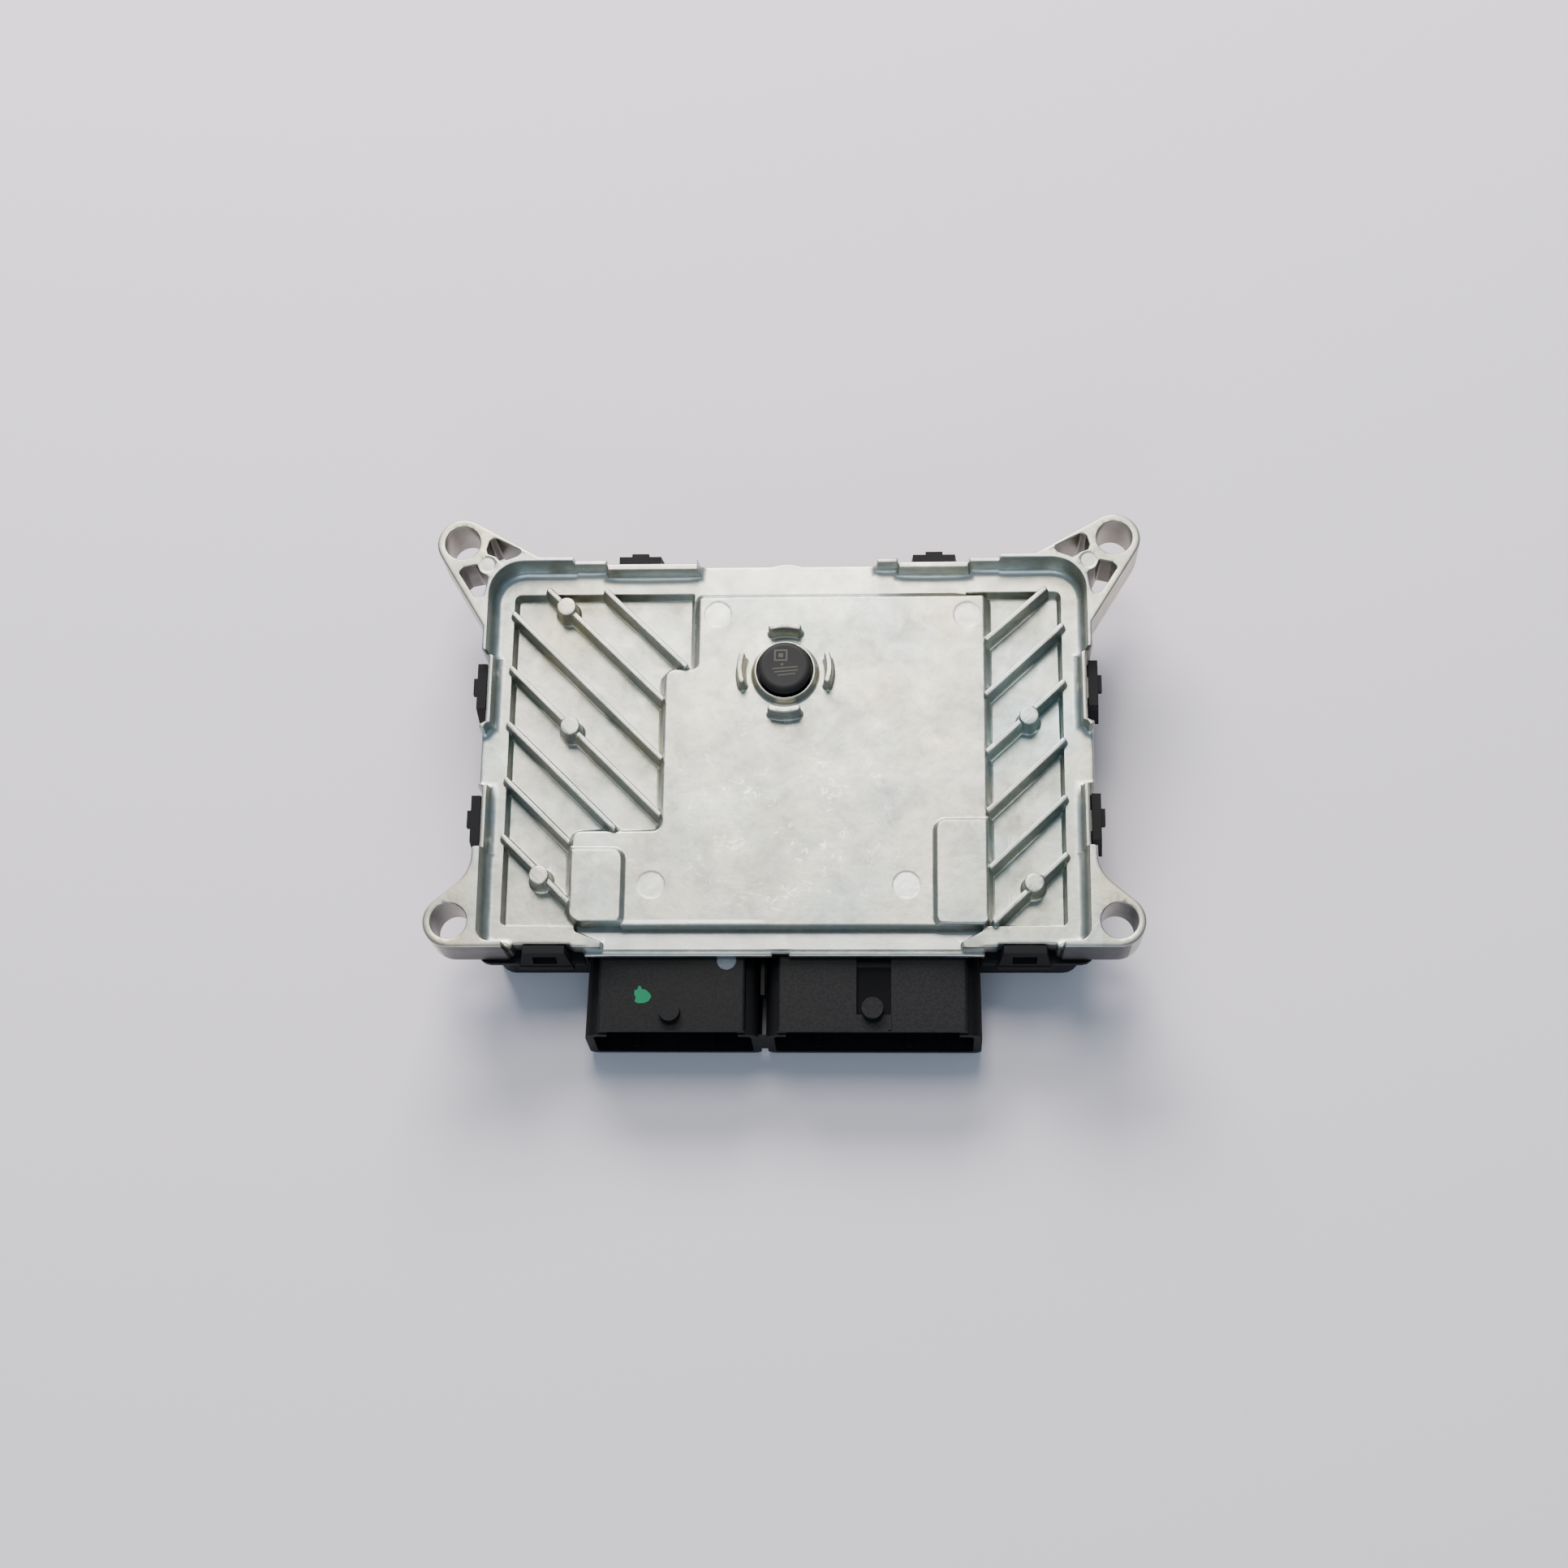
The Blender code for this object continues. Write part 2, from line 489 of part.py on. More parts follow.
# ---- connector header: two bays on a common plate ------------------------------------------
def upright(name, x0, x1, z0, z1, r, y0, y1, mat=None, tool=False, radii=None, n=3, flare=(0, 0)):
    """A rounded rectangle in X and Z, drawn out along Y, its front end wider by the flare."""
    pts = soften([(x0, z0), (x1, z0), (x1, z1), (x0, z1)], radii or (r, r, r, r), n)
    ob = prism(name, pts, 0.0, y1 - y0, mat, tool=tool)
    turn = Matrix.Translation((0, y1 * MM, 0)) @ Matrix.Rotation(math.radians(90), 4, "X")
    ob.data.transform(turn)
    for v in ob.data.vertices:
        if v.co.y < (y0 + y1) * 0.5 * MM:
            v.co.x += (flare[1] if v.co.x > (x0 + x1) * 0.5 * MM else -flare[0]) * MM
    return ob


header = upright("connector_header", -49.0, 48.8, HEAD_BOT, HEAD_TOP, 1.0,
                 COLLAR_PLATE[0], COLLAR_PLATE[1], HEADER)
for i, (x0, x1) in enumerate(BAYS):
    add(header, upright("add_bay_%d" % i, x0, x1, HEAD_BOT, RAIL_Z, 2.2, HEAD_Y0, -51.5, tool=True,
                        radii=(2.2, 2.2, 3.2, 3.2), flare=FLARE[i]))
    add(header, upright("add_bay_top_%d" % i, x0 + 3.1, x1 - 3.3, RAIL_Z - 3, HEAD_TOP, 0.8,
                        -73.6, -51.6, tool=True, radii=(0, 0, 0.8, 0.8)))
add(header, block("add_web", BAYS[0][1] - 0.6, BAYS[1][0] + 0.6, HEAD_Y0 + 0.1, -73.4, -14.8, -5.0,
                  tool=True))
add(header, block("add_gap_rib", -5.9, -4.9, -64.0, -52.0, -6.5, RAIL_Z + 0.6, tool=True))
add(header, block("add_rear", -48.7, 48.5, -51.0, -48.2, -17.8, -2.4, tool=True))
for i, (x0, x1) in enumerate(BAYS):
    cut(header, upright("cut_mouth_%d" % i, x0 + 2.0, x1 - 2.0, -17.7, -4.5, 1.2, HEAD_Y0 - 2, -58.5,
                        tool=True, flare=FLARE[i]))
    cut(header, upright("cut_mouth_top_%d" % i, x0 + 5.0, x1 - 5.2, -8.0, -1.3, 0.6, HEAD_Y0 - 2.1,
                        -58.4, tool=True))
    cut(header, block("cut_pins_%d" % i, x0 + 4.0, x1 - 4.2, -60, -40, -16.3, -5.1, tool=True))
# the front face leans back above its lower lip
lean = shaped("cut_lean", 0.0, HEAD_Y0, 0, -1, lambda u, v, w: (
    2.0 if u > 0 else (-1.25 if w > 0 else 0.0), 60.0 * v, -1.0 if w > 0 else -16.9))
cut(header, lean)
# lever pivots on the top plates, with the guide slot of the right bay
add(header, drum("add_pivot_left", -28.3, -68.8, -0.6, 2.4, 2.65, 20, tool=True))
cut(header, upright("cut_slot", 18.0, 26.6, -0.75, 3.0, 0.0, -69.5, -53.3, tool=True))
add(header, drum("add_pivot_right", 22.0, -68.15, -1.05, 2.4, 2.7, 20, tool=True))
add(header, block("add_slot_rib", 25.9, 26.6, -73.4, -69.9, 0.0, 1.1, tool=True))
cut(header, block("cut_seal", -48.3, 48.1, -52.6, -51.0, -0.5, 2.0, tool=True))
# keying ribs inside the mouths
for i, x in enumerate((-38.0, -19.0, 8.0, 31.0)):
    add(header, block("add_key_%d" % (i + 1), x - 0.8, x + 0.8, -74.0, -57.5, -18.6, -16.2, tool=True))


# ---- contact pins with their moulded carriers -----------------------------------------------
def contact_row(name, xs, row_z, w, h, y_tip, y_bend, z_end):
    """A row of contacts: straight out of the carrier, up behind it, and a foot under the board."""
    hh = h * 0.5
    side = [(y_tip, row_z - hh), (y_bend + hh, row_z - hh), (y_bend + hh, z_end - h),
            (y_bend + hh + 0.9, z_end - h), (y_bend + hh + 0.9, z_end), (y_bend - hh, z_end),
            (y_bend - hh, row_z + hh), (y_tip, row_z + hh)]
    one = prism(name, side, -w * 0.5, w * 0.5, tool=True)
    # outline (Y, Z) and thickness (X): turn the flat outline upright
    one.data.transform(Matrix(((0, 0, 1, 0), (1, 0, 0, 0), (0, 1, 0, 0), (0, 0, 0, 1))))
    bm = bmesh.new()
    for x in xs:
        before = set(bm.verts)
        bm.from_mesh(one.data)
        bmesh.ops.translate(bm, verts=[v for v in bm.verts if v not in before],
                            vec=(x * MM, 0, 0))
    bmesh.ops.recalc_face_normals(bm, faces=bm.faces)
    bm.to_mesh(one.data)
    bm.free()
    return one


def pin_set(name, bay, columns, blades):
    x0, x1 = BAYS[bay]
    pitch = 2.7
    mid = (x0 + x1) * 0.5 - 0.1
    carrier = block(name, x0 + 4.3, x1 - 4.5, -58.2, -48.4, -16.0, -5.4, PIN)
    xs = [mid + (c - (columns - 1) * 0.5) * pitch for c in range(columns)]
    for r, (z, yb) in enumerate(zip((-7.0, -9.9, -12.8), (-46.0, -43.6, -41.2))):
        add(carrier, contact_row("%s_row_%d" % (name, r + 1), xs, z, 0.64, 0.64, -69.0, yb,
                                 BOARD_BOT - GAP))
    xs = [mid + (c - (blades - 1) * 0.5) * 5.4 for c in range(blades)]
    add(carrier, contact_row(name + "_blades", xs, -15.0, 2.6, 0.8, -69.0, -38.6,
                             BOARD_BOT - GAP))
    return carrier


pin_set("pin_block_left", 0, 11, 4)
pin_set("pin_block_right", 1, 15, 6)

# ---- circuit board ----------------------------------------------------------------------------
board = prism("circuit_board", rounded(-72.2, 72.2, -46.1, 43.1, 4.0, 3), BOARD_BOT, BOARD_TOP, BOARD,
              holes=[ring(x, y, 1.7, 12) for x, y in POSTS])

# ---- seals -------------------------------------------------------------------------------------
prism("housing_seal", seal_path(0.8, -50.4), 0.0, 0.7, SEAL)
block("header_seal", -48.0, 47.8, -52.3, -51.3, -0.2, 0.6, SEAL)

# ---- board screws --------------------------------------------------------------------------------
for i, (x, y) in enumerate(POSTS):
    head = BOARD_BOT - GAP
    s = drum("board_screw_%d" % (i + 1), x, y, head - 1.8, head, 2.7, 16, STEEL)
    add(s, drum("add_shank_%d" % (i + 1), x, y, head - 0.9, 5.6, SCREW_R, 12, tool=True))
    cut(s, drum("cut_drive_%d" % (i + 1), x, y, head - 3.0, head - 0.9, 1.1, 6, tool=True))

# ---- vent plug -----------------------------------------------------------------------------------
cap_under = COLLAR_Z + GAP
turned("vent_cap", [(2.2, 3.3), (3.2, 3.3), (4.7, 4.3), (4.7, 5.0), (3.95, 5.0), (3.95, cap_under),
                    (6.6, cap_under), (CAP_R, cap_under + 0.2), (CAP_R, CAP_Z - 1.3), (6.35, CAP_Z - 0.6),
                    (5.8, CAP_Z - 0.15), (5.4, CAP_Z), (0.0, CAP_Z), (0.0, 12.6), (3.2, 12.6), (3.2, 11.2), (2.2, 11.2)],
       vx, vy, 32, CAPM)
turned("vent_o_ring", [(5.1 + 0.5 * math.cos(t), 9.85 + 0.5 * math.sin(t))
                       for t in (math.tau * k / 8 for k in range(8))], vx, vy, 28, SEAL)
drum("vent_membrane", vx, vy, 11.5, 11.8, 2.9, 24, SKIN)


# ---- board parts: upper side ------------------------------------------------------------------------
def top_chip(name, x, y, w, d, h, mat=CHIP):
    z = BOARD_TOP + GAP
    return block(name, x - w / 2, x + w / 2, y - d / 2, y + d / 2, z, z + h, mat)


top_chip("injector_driver_ic", -11.0, -4.0, 14.0, 12.0, 1.6)
top_chip("ignition_driver_ic", 17.0, -22.0, 14.0, 12.0, 1.6)
top_chip("throttle_driver_ic", 32.0, 20.0, 12.0, 12.0, 1.6)
top_chip("microcontroller", 8.0, 5.0, 20.0, 18.0, 1.5)
top_chip("power_supply_ic", -11.0, -24.0, 12.0, 10.0, 1.8)
top_chip("flash_memory", 36.0, -4.0, 6.0, 8.0, 1.3)
top_chip("can_transceiver", -20.0, -38.0, 5.0, 4.0, 1.4)
top_chip("knock_interface_ic", 4.0, -38.0, 7.0, 6.0, 1.5)
top_chip("pressure_sensor", 44.5, -34.0, 6.0, 7.0, 2.4)
for i, (x0, x1, y0, y1) in enumerate(PEDESTALS):
    block("thermal_pad_%d" % (i + 1), x0 + 2.0, x1 - 2.0, y0 + 2.0, y1 - 2.0, 1.9, 2.6, PAD)

crystal = top_chip("quartz_crystal", 24.5, 3.0, 5.0, 11.0, 2.8, CAN)
coil = drum("choke_coil", -47.0, -38.4, BOARD_TOP + GAP, 5.4, 4.2, 20, FERRITE)
cut(coil, turned("cut_choke_waist", [(2.6, 1.2), (5.2, 1.2), (5.2, 4.2), (2.6, 4.2)], -47.0, -38.4, 20,
                 tool=True))


# ---- board parts: lower side ------------------------------------------------------------------------
def bottom_can(name, x, y, r, length):
    z1 = BOARD_BOT - GAP
    z0 = z1 - length
    return turned(name, [(0.0, z0), (r - 0.6, z0), (r, z0 + 0.6), (r, z1 - 2.4), (r - 0.45, z1 - 2.0),
                         (r, z1 - 1.6), (r, z1), (0.0, z1)], x, y, 24, CAN)


bottom_can("capacitor_1", -52.0, -20.0, 6.3, 14.0)
bottom_can("capacitor_2", -36.0, -20.0, 6.3, 14.0)
bottom_can("capacitor_3", 34.0, -22.0, 5.0, 12.0)
bottom_can("capacitor_4", 48.0, -22.0, 5.0, 12.0)


def power_package(name, x, y, turn=1):
    """A tab package: moulded body with its metal tab at one end."""
    z1 = BOARD_BOT - GAP
    ob = block(name, x - 5.0, x + 5.0, y - 4.5, y + 4.5, z1 - 4.4, z1, CHIP)
    ya, yb = sorted((y + turn * 4.0, y + turn * 6.6))
    add(ob, block("add_tab_" + name, x - 5.2, x + 5.2, ya, yb, z1 - 1.3, z1 - 0.05, tool=True))
    return ob


power_package("power_transistor_1", -55.0, 22.0)
power_package("power_transistor_2", -40.0, 22.0)
power_package("power_transistor_3", 40.0, 22.0)
power_package("power_transistor_4", 55.0, 22.0)
power_package("polarity_diode", 0.0, 26.0)
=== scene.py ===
# Looks of the engine control unit: cast housing, moulded cover, plug header, vent.
# Coordinates inside the helpers are millimetres in the design frame of the part:
# X along the header, Y to the back, Z up from the parting plane.
import bpy, bmesh, math
import numpy as np
from mathutils import Vector, Matrix
from mathutils.geometry import delaunay_2d_cdt


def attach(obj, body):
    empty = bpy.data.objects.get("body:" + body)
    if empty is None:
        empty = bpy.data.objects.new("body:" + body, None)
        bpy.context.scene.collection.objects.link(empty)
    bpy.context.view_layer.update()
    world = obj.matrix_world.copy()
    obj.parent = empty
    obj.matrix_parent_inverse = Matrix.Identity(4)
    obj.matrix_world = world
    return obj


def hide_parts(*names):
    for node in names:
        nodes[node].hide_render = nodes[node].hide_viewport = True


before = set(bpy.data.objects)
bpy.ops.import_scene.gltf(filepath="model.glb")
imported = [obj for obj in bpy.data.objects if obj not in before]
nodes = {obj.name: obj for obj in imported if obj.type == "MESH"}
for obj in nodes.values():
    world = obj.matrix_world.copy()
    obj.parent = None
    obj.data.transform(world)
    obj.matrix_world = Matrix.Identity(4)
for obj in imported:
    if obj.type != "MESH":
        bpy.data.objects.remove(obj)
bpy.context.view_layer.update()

MM = 0.001
OY, OZ = 8.56, 20.0            # design frame in the row frame, mm
scene = bpy.context.scene
RNG = np.random.default_rng(7)


# =============================================================== flat shapes
def arc(cx, cy, r, a0, a1, n):
    return [(cx + r * math.cos(math.radians(a0 + (a1 - a0) * i / n)),
             cy + r * math.sin(math.radians(a0 + (a1 - a0) * i / n))) for i in range(n + 1)]


def circle(cx, cy, r, n):
    return [(cx + r * math.cos(math.tau * (i + 0.5) / n),
             cy + r * math.sin(math.tau * (i + 0.5) / n)) for i in range(n)]


def soften(points, radii, n=4):
    out = []
    k = len(points)
    if isinstance(radii, (int, float)):
        radii = [radii] * k
    for i, (p, r) in enumerate(zip(points, radii)):
        if r <= 0:
            out.append(tuple(p))
            continue
        a = (Vector(points[i - 1]) - Vector(p)).normalized()
        b = (Vector(points[(i + 1) % k]) - Vector(p)).normalized()
        half = math.acos(max(-1.0, min(1.0, a.dot(b)))) * 0.5
        if half > math.radians(89):
            out.append(tuple(p))
            continue
        d = r / math.tan(half)
        c = Vector(p) + (a + b).normalized() * (r / math.sin(half))
        s, e = Vector(p) + a * d - c, Vector(p) + b * d - c
        a0, a1 = math.atan2(s.y, s.x), math.atan2(e.y, e.x)
        while a1 - a0 > math.pi:
            a1 -= math.tau
        while a1 - a0 < -math.pi:
            a1 += math.tau
        for j in range(n + 1):
            t = a0 + (a1 - a0) * j / n
            out.append((c.x + r * math.cos(t), c.y + r * math.sin(t)))
    return out


def mirrored(points):
    return [(-x, y) for x, y in reversed(points)]


def area2(poly):
    a = np.asarray(poly)
    b = np.roll(a, -1, 0)
    return float((a[:, 0] * b[:, 1] - b[:, 0] * a[:, 1]).sum())


def ccw(poly):
    return list(poly) if area2(poly) > 0 else list(reversed(poly))


def split_long(poly, step):
    out = []
    k = len(poly)
    for i in range(k):
        a, b = np.array(poly[i]), np.array(poly[(i + 1) % k])
        n = max(1, int(math.ceil(np.hypot(*(b - a)) / step)))
        out += [tuple(a + (b - a) * j / n) for j in range(n)]
    return out


def clean(poly, tol=1e-3):
    out = []
    for p in poly:
        if not out or math.hypot(p[0] - out[-1][0], p[1] - out[-1][1]) > tol:
            out.append(tuple(p))
    if math.hypot(out[0][0] - out[-1][0], out[0][1] - out[-1][1]) <= tol:
        out.pop()
    return out


def grown(poly, d):
    """The outline moved outwards by d (inwards if negative), with mitred corners."""
    p = np.asarray(ccw(clean(poly)), float)
    a = p - np.roll(p, 1, 0)
    b = np.roll(p, -1, 0) - p
    a /= np.linalg.norm(a, axis=1)[:, None]
    b /= np.linalg.norm(b, axis=1)[:, None]
    na = np.stack([a[:, 1], -a[:, 0]], 1)
    nb = np.stack([b[:, 1], -b[:, 0]], 1)
    m = (na + nb) / np.maximum(1 + (na * nb).sum(1), 0.35)[:, None]
    return [tuple(q) for q in p + m * d]


def sdf(poly, P, reach=6.0):
    """Signed distance of points to a closed outline, negative inside.  Far points get reach."""
    a = np.asarray(poly, float)
    lo, hi = a.min(0) - reach, a.max(0) + reach
    near = np.where(((P >= lo) & (P <= hi)).all(1))[0]
    out = np.full(len(P), reach)
    if not len(near):
        return out
    x, y = P[near, 0], P[near, 1]
    best = np.full(len(near), 1e9)
    inside = np.zeros(len(near), bool)
    b = np.roll(a, -1, 0)
    for (ax, ay), (bx, by) in zip(a, b):
        ex, ey = bx - ax, by - ay
        ll = ex * ex + ey * ey
        if ll < 1e-12:
            continue
        wx, wy = x - ax, y - ay
        t = np.clip((wx * ex + wy * ey) / ll, 0, 1)
        best = np.minimum(best, (wx - ex * t) ** 2 + (wy - ey * t) ** 2)
        if ay != by:
            hit = (ay <= y) != (by <= y)
            inside ^= hit & (x < ax + (y - ay) / (by - ay) * ex)
    out[near] = np.where(inside, -1, 1) * np.sqrt(best)
    return out


def wall(z0, z1, run, r_top, r_bot, n=3):
    """Section of a sloped wall from z0 down to z1 over a run, rounded at both ends: (d, z)."""
    phi = math.atan2(z0 - z1, run)
    t0, t1 = r_top * math.tan(phi / 2), r_bot * math.tan(phi / 2)
    pts = []
    for i in range(n + 1):
        f = phi * i / n
        pts.append((-t0 + r_top * math.sin(f), z0 - r_top * (1 - math.cos(f))))
    for i in range(n + 1):
        f = phi * (1 - i / n)
        pts.append((run + t1 - r_bot * math.sin(f), z1 + r_bot * (1 - math.cos(f))))
    d = np.array([p[0] for p in pts])
    z = np.array([p[1] for p in pts])
    keep = np.concatenate([[True], np.diff(d) > 1e-4])
    return d[keep], z[keep]


# =============================================================== the casting's plan
RIM_Z, LIP_Z, LEDGE_Z, FIELD_Z = 14.0, 11.2, 6.0, 2.7
MIDDLE_Z, PAD_Z, POST_Z, FRONT_Z = 7.4, 8.7, 9.2, 3.3
BODY_X, BODY_Y0, BODY_Y1 = 77.4, -55.5, 47.5
SNAP_X, SNAP_Y0, SNAP_Y1 = 76.0, -53.0, 46.5
REAR_BOSS, FRONT_EAR, BOLT_R = (83.6, 51.4, 6.6), (82.2, -49.0, 6.5), 4.5
VENT = (-0.2, 17.4)
POSTS = ((-56.8, 35.6), (-54.7, 3.2), (-61.1, -36.0), (61.4, 5.4), (62.0, -38.1))


def tangent(px, py, cx, cy, r, side):
    dx, dy = cx - px, cy - py
    t = math.atan2(dy, dx) + math.pi + side * math.acos(r / math.hypot(dx, dy))
    return math.degrees(t)


def right_side():
    ex, ey, er = FRONT_EAR
    bx, by, br = REAR_BOSS
    pts = [(49.7, BODY_Y0 + 0.4), (49.9, -53.65), (52.6, -53.6), (53.2, SNAP_Y0), (67.2, SNAP_Y0),
           (67.6, -54.4), (68.9, BODY_Y0)]
    pts += arc(ex, ey, er, -90, 50, 22)
    r = 10.0
    px = BODY_X + r * (1 - math.cos(math.radians(50)))
    tx, ty = ex + er * math.cos(math.radians(50)), ey + er * math.sin(math.radians(50))
    py = ty + (tx - px) * math.cos(math.radians(50)) / math.sin(math.radians(50))
    cx, cy = px + r * math.cos(math.radians(50)), py + r * math.sin(math.radians(50))
    pts += arc(cx, cy, r, 230, 180, 12)
    pts += [(BODY_X, -30.0), (SNAP_X, -29.3), (SNAP_X, -13.4), (BODY_X + 0.2, -12.6),
            (BODY_X + 0.2, 3.2), (SNAP_X, 4.0), (SNAP_X, 21.5), (BODY_X, 22.3)]
    foot, head = (BODY_X, 28.6), (63.6, BODY_Y1)
    a0 = tangent(*foot, bx, by, br, 1) % 360
    a1 = tangent(*head, bx, by, br, -1) % 360
    a0 = a0 - 360 if a0 > 180 else a0
    return pts + [foot] + arc(bx, by, br, a0, a1, 26) + [head]


right = right_side()
outline = right + [(46.8, BODY_Y1), (46.8, SNAP_Y1), (28.5, SNAP_Y1), (28.5, BODY_Y1), (4.0, BODY_Y1)]
outline += arc(0.0, BODY_Y1 - 9.5, 10.3, 68, 112, 6) + [(-4.0, BODY_Y1), (-23.3, BODY_Y1)]
outline += [(-23.3, SNAP_Y1), (-46.5, SNAP_Y1), (-46.5, BODY_Y1)] + mirrored(right)
outline += [(-3.0, BODY_Y0 + 0.4), (-2.9, BODY_Y0 + 1.0), (1.2, BODY_Y0 + 1.0), (1.3, BODY_Y0 + 0.4)]
outline = clean(outline)

upper = soften([(77.25, 49.6), (76.6, 52.0), (75.2, 52.75), (68.1, 49.0), (69.4, 47.7), (73.4, 46.1),
                (74.9, 47.6), (76.9, 48.3)], (1.0, 0.8, 0.9, 0.7, 0.9, 0.7, 1.6, 0.6), 5)
lower = soften([(84.3, 43.4), (82.9, 44.75), (79.75, 45.5), (78.8, 43.2), (76.6, 42.1), (77.2, 38.6),
                (77.9, 36.4), (79.9, 36.5)], (1.0, 0.9, 0.7, 1.6, 0.7, 3.0, 0.8, 0.9), 5)
holes = [circle(s * REAR_BOSS[0], REAR_BOSS[1], BOLT_R, 48) for s in (1, -1)]
holes += [circle(s * FRONT_EAR[0], FRONT_EAR[1], BOLT_R, 48) for s in (1, -1)]
holes += [upper, lower, mirrored(upper), mirrored(lower)]
holes = [ccw(clean(h)) for h in holes]

half = [(68.9, -60.0), (68.9, -54.2), (69.3, -53.9), (72.2, -53.9)]
half += arc(72.2, -50.9, 3.0, -90, 0, 8)
half += [(75.3, -29.9), (74.8, -29.3), (74.8, -12.9), (82.0, -12.7), (82.0, 2.3),
         (76.5, 2.3), (75.9, 3.3), (74.8, 3.7), (74.8, 21.5), (76.2, 22.3)]
half += arc(67.5, 37.6, 8.7, 0, 90, 18)
tray = half + [(46.7, 46.3), (46.4, 44.9), (28.9, 44.9), (28.6, 46.3), (23.3, 46.3),
               (23.3, 52.0), (-23.0, 52.0), (-23.0, 44.8), (-46.1, 44.8), (-46.4, 46.3)]
tray = ccw(clean(tray + mirrored(half)))


def boxy(x0, x1, y0, y1, r, n=5):
    return soften([(x0, y0), (x1, y0), (x1, y1), (x0, y1)], r, n)


field_l = boxy(-70.6, -24.0, -48.2, 40.0, (1.2, 0.5, 0.5, 1.6))
field_r = boxy(46.0, 70.1, -48.4, 39.9, (0.5, 1.2, 1.6, 0.5))
front = soften([(-45.5, -60), (44.4, -60), (44.4, -52.4), (49.3, -49.6), (49.9, -46.2), (-52.6, -46.2),
                (-52.0, -49.7), (-45.5, -52.4)], (0, 0, 0.5, 0.9, 0, 0, 0.9, 0.5), 4)
strip = [(-60, -62), (60, -62), (60, -53.75), (-60, -53.75)]
MIDDLE = [(50.7, -48.45), (50.7, 38.6), (-22.7, 38.6), (-22.7, 18.9), (-31.0, 18.9),
          (-31.0, -24.1), (-53.4, -24.1), (-53.4, -47.75), (-40.6, -47.75), (-40.4, -48.45)]
middle = soften(MIDDLE, (1.6, 1.0, 1.2, 1.6, 2.6, 2.2, 2.2, 3.2, 0.3, 0.3))
pad_l = soften([(-58, -47.95), (-40.6, -47.95), (-40.6, -29.4), (-58, -29.4)], (1.5, 1.6, 2.2, 1.5))
pad_r = soften([(38.1, -48.2), (56, -48.2), (56, -22.0), (38.1, -22.0)], (1.6, 1.5, 1.5, 2.2))

RIBS = [((-47.0, 40.4), (-25.3, 19.1)), ((-61.9, 40.8), (-31.0, 10.1)),
        ((-70.7, 34.3), (-31.0, -5.6)), ((-70.7, 19.3), (-31.0, -20.5)),
        ((-70.8, 4.4), (-42.3, -24.1)), ((-70.8, -10.5), (-53.6, -27.6)),
        ((-70.9, -25.5), (-53.4, -42.9)),
        ((66.4, 40.2), (50.7, 25.9)), ((70.5, 30.1), (50.5, 11.1)),
        ((70.6, 14.9), (50.6, -4.2)), ((70.4, -0.6), (50.6, -19.7)),
        ((70.4, -15.7), (51.0, -34.3)), ((70.4, -30.5), (51.9, -48.2))]


def bar(a, b, w, r):
    a, b = Vector(a), Vector(b)
    d = (b - a).normalized()
    s = Vector((-d.y, d.x)) * w * 0.5
    return soften([tuple(a - s), tuple(b - s), tuple(b + s), tuple(a + s)], r, 4)


guards = [soften(arc(*VENT, 12.1, 90 * i - 21, 90 * i + 21, 10) + arc(*VENT, 10.6, 90 * i + 21, 90 * i - 21, 10),
                 [0.6 if k in (0, 10, 11, 21) else 0 for k in range(22)], 4) for i in range(4)]

raised = []                    # (outline, section d, section z)
raised.append((ccw(middle), *wall(MIDDLE_Z, FIELD_Z, 1.3, 0.85, 0.7, 4)))
STEEP = 3.2                    # the plateau's front wall is this much steeper
rib_wall = wall(PAD_Z, FIELD_Z, 0.62, 0.34, 0.5)
for a, b in RIBS:
    raised.append((ccw(bar(a, b, 1.35, 0.6)), *rib_wall))
for x, y in POSTS:
    raised.append((circle(x, y, 2.45, 32), *wall(POST_Z, FIELD_Z, 0.45, 0.3, 0.6)))
raised.append((circle(*VENT, 7.85, 56), *wall(10.3, MIDDLE_Z, 0.5, 0.3, 0.6)))
for g in guards:
    raised.append((ccw(clean(g)), *wall(12.7, MIDDLE_Z, 0.34, 0.34, 0.4)))
pads = [(ccw(p), *wall(PAD_Z, MIDDLE_Z, 0.95, 0.5, 0.7)) for p in (pad_l, pad_r)]

MARKS = [(-17.7, 33.8, 3.8), (46.2, 33.3, 3.8), (-33.1, -38.1, 3.8), (30.5, -38.2, 3.8)]
ARM_MARKS = [(-76.95, 45.45, 2.3), (76.95, 45.5, 2.3)]

tray_d, tray_g = wall(8.0, 0.0, 0.45, 0.3, 2.2, 7)
tray_g = tray_g / 8.0
field_d, field_z = wall(LEDGE_Z, FIELD_Z, 0.62, 0.25, 0.4)
front_d, front_z = wall(LEDGE_Z, FRONT_Z, 0.4, 0.18, 0.4)
EDGE_R = 0.5
LOW_LIP = [(-54.6, -20.0, 42.0, 50.0), (20.0, 54.3, 42.0, 50.0),
           (-80.0, -73.0, -29.5, 21.9), (73.0, 80.0, -29.5, 21.9)]


WEDGES = [(s * SNAP_X, y, s, 0, 2.7, 2.0, 1.9, 6.1) for s in (1, -1) for y in (13.8, -21.4)]
WEDGES += [(x, SNAP_Y1, 0, 1, 2.7, 1.8, 1.9, 6.1) for x in (-38.0, 37.8)]
WEDGES += [(x, SNAP_Y0, 0, -1, 2.5, 2.2, 0.5, 3.9) for x in (-59.6, 59.6)]


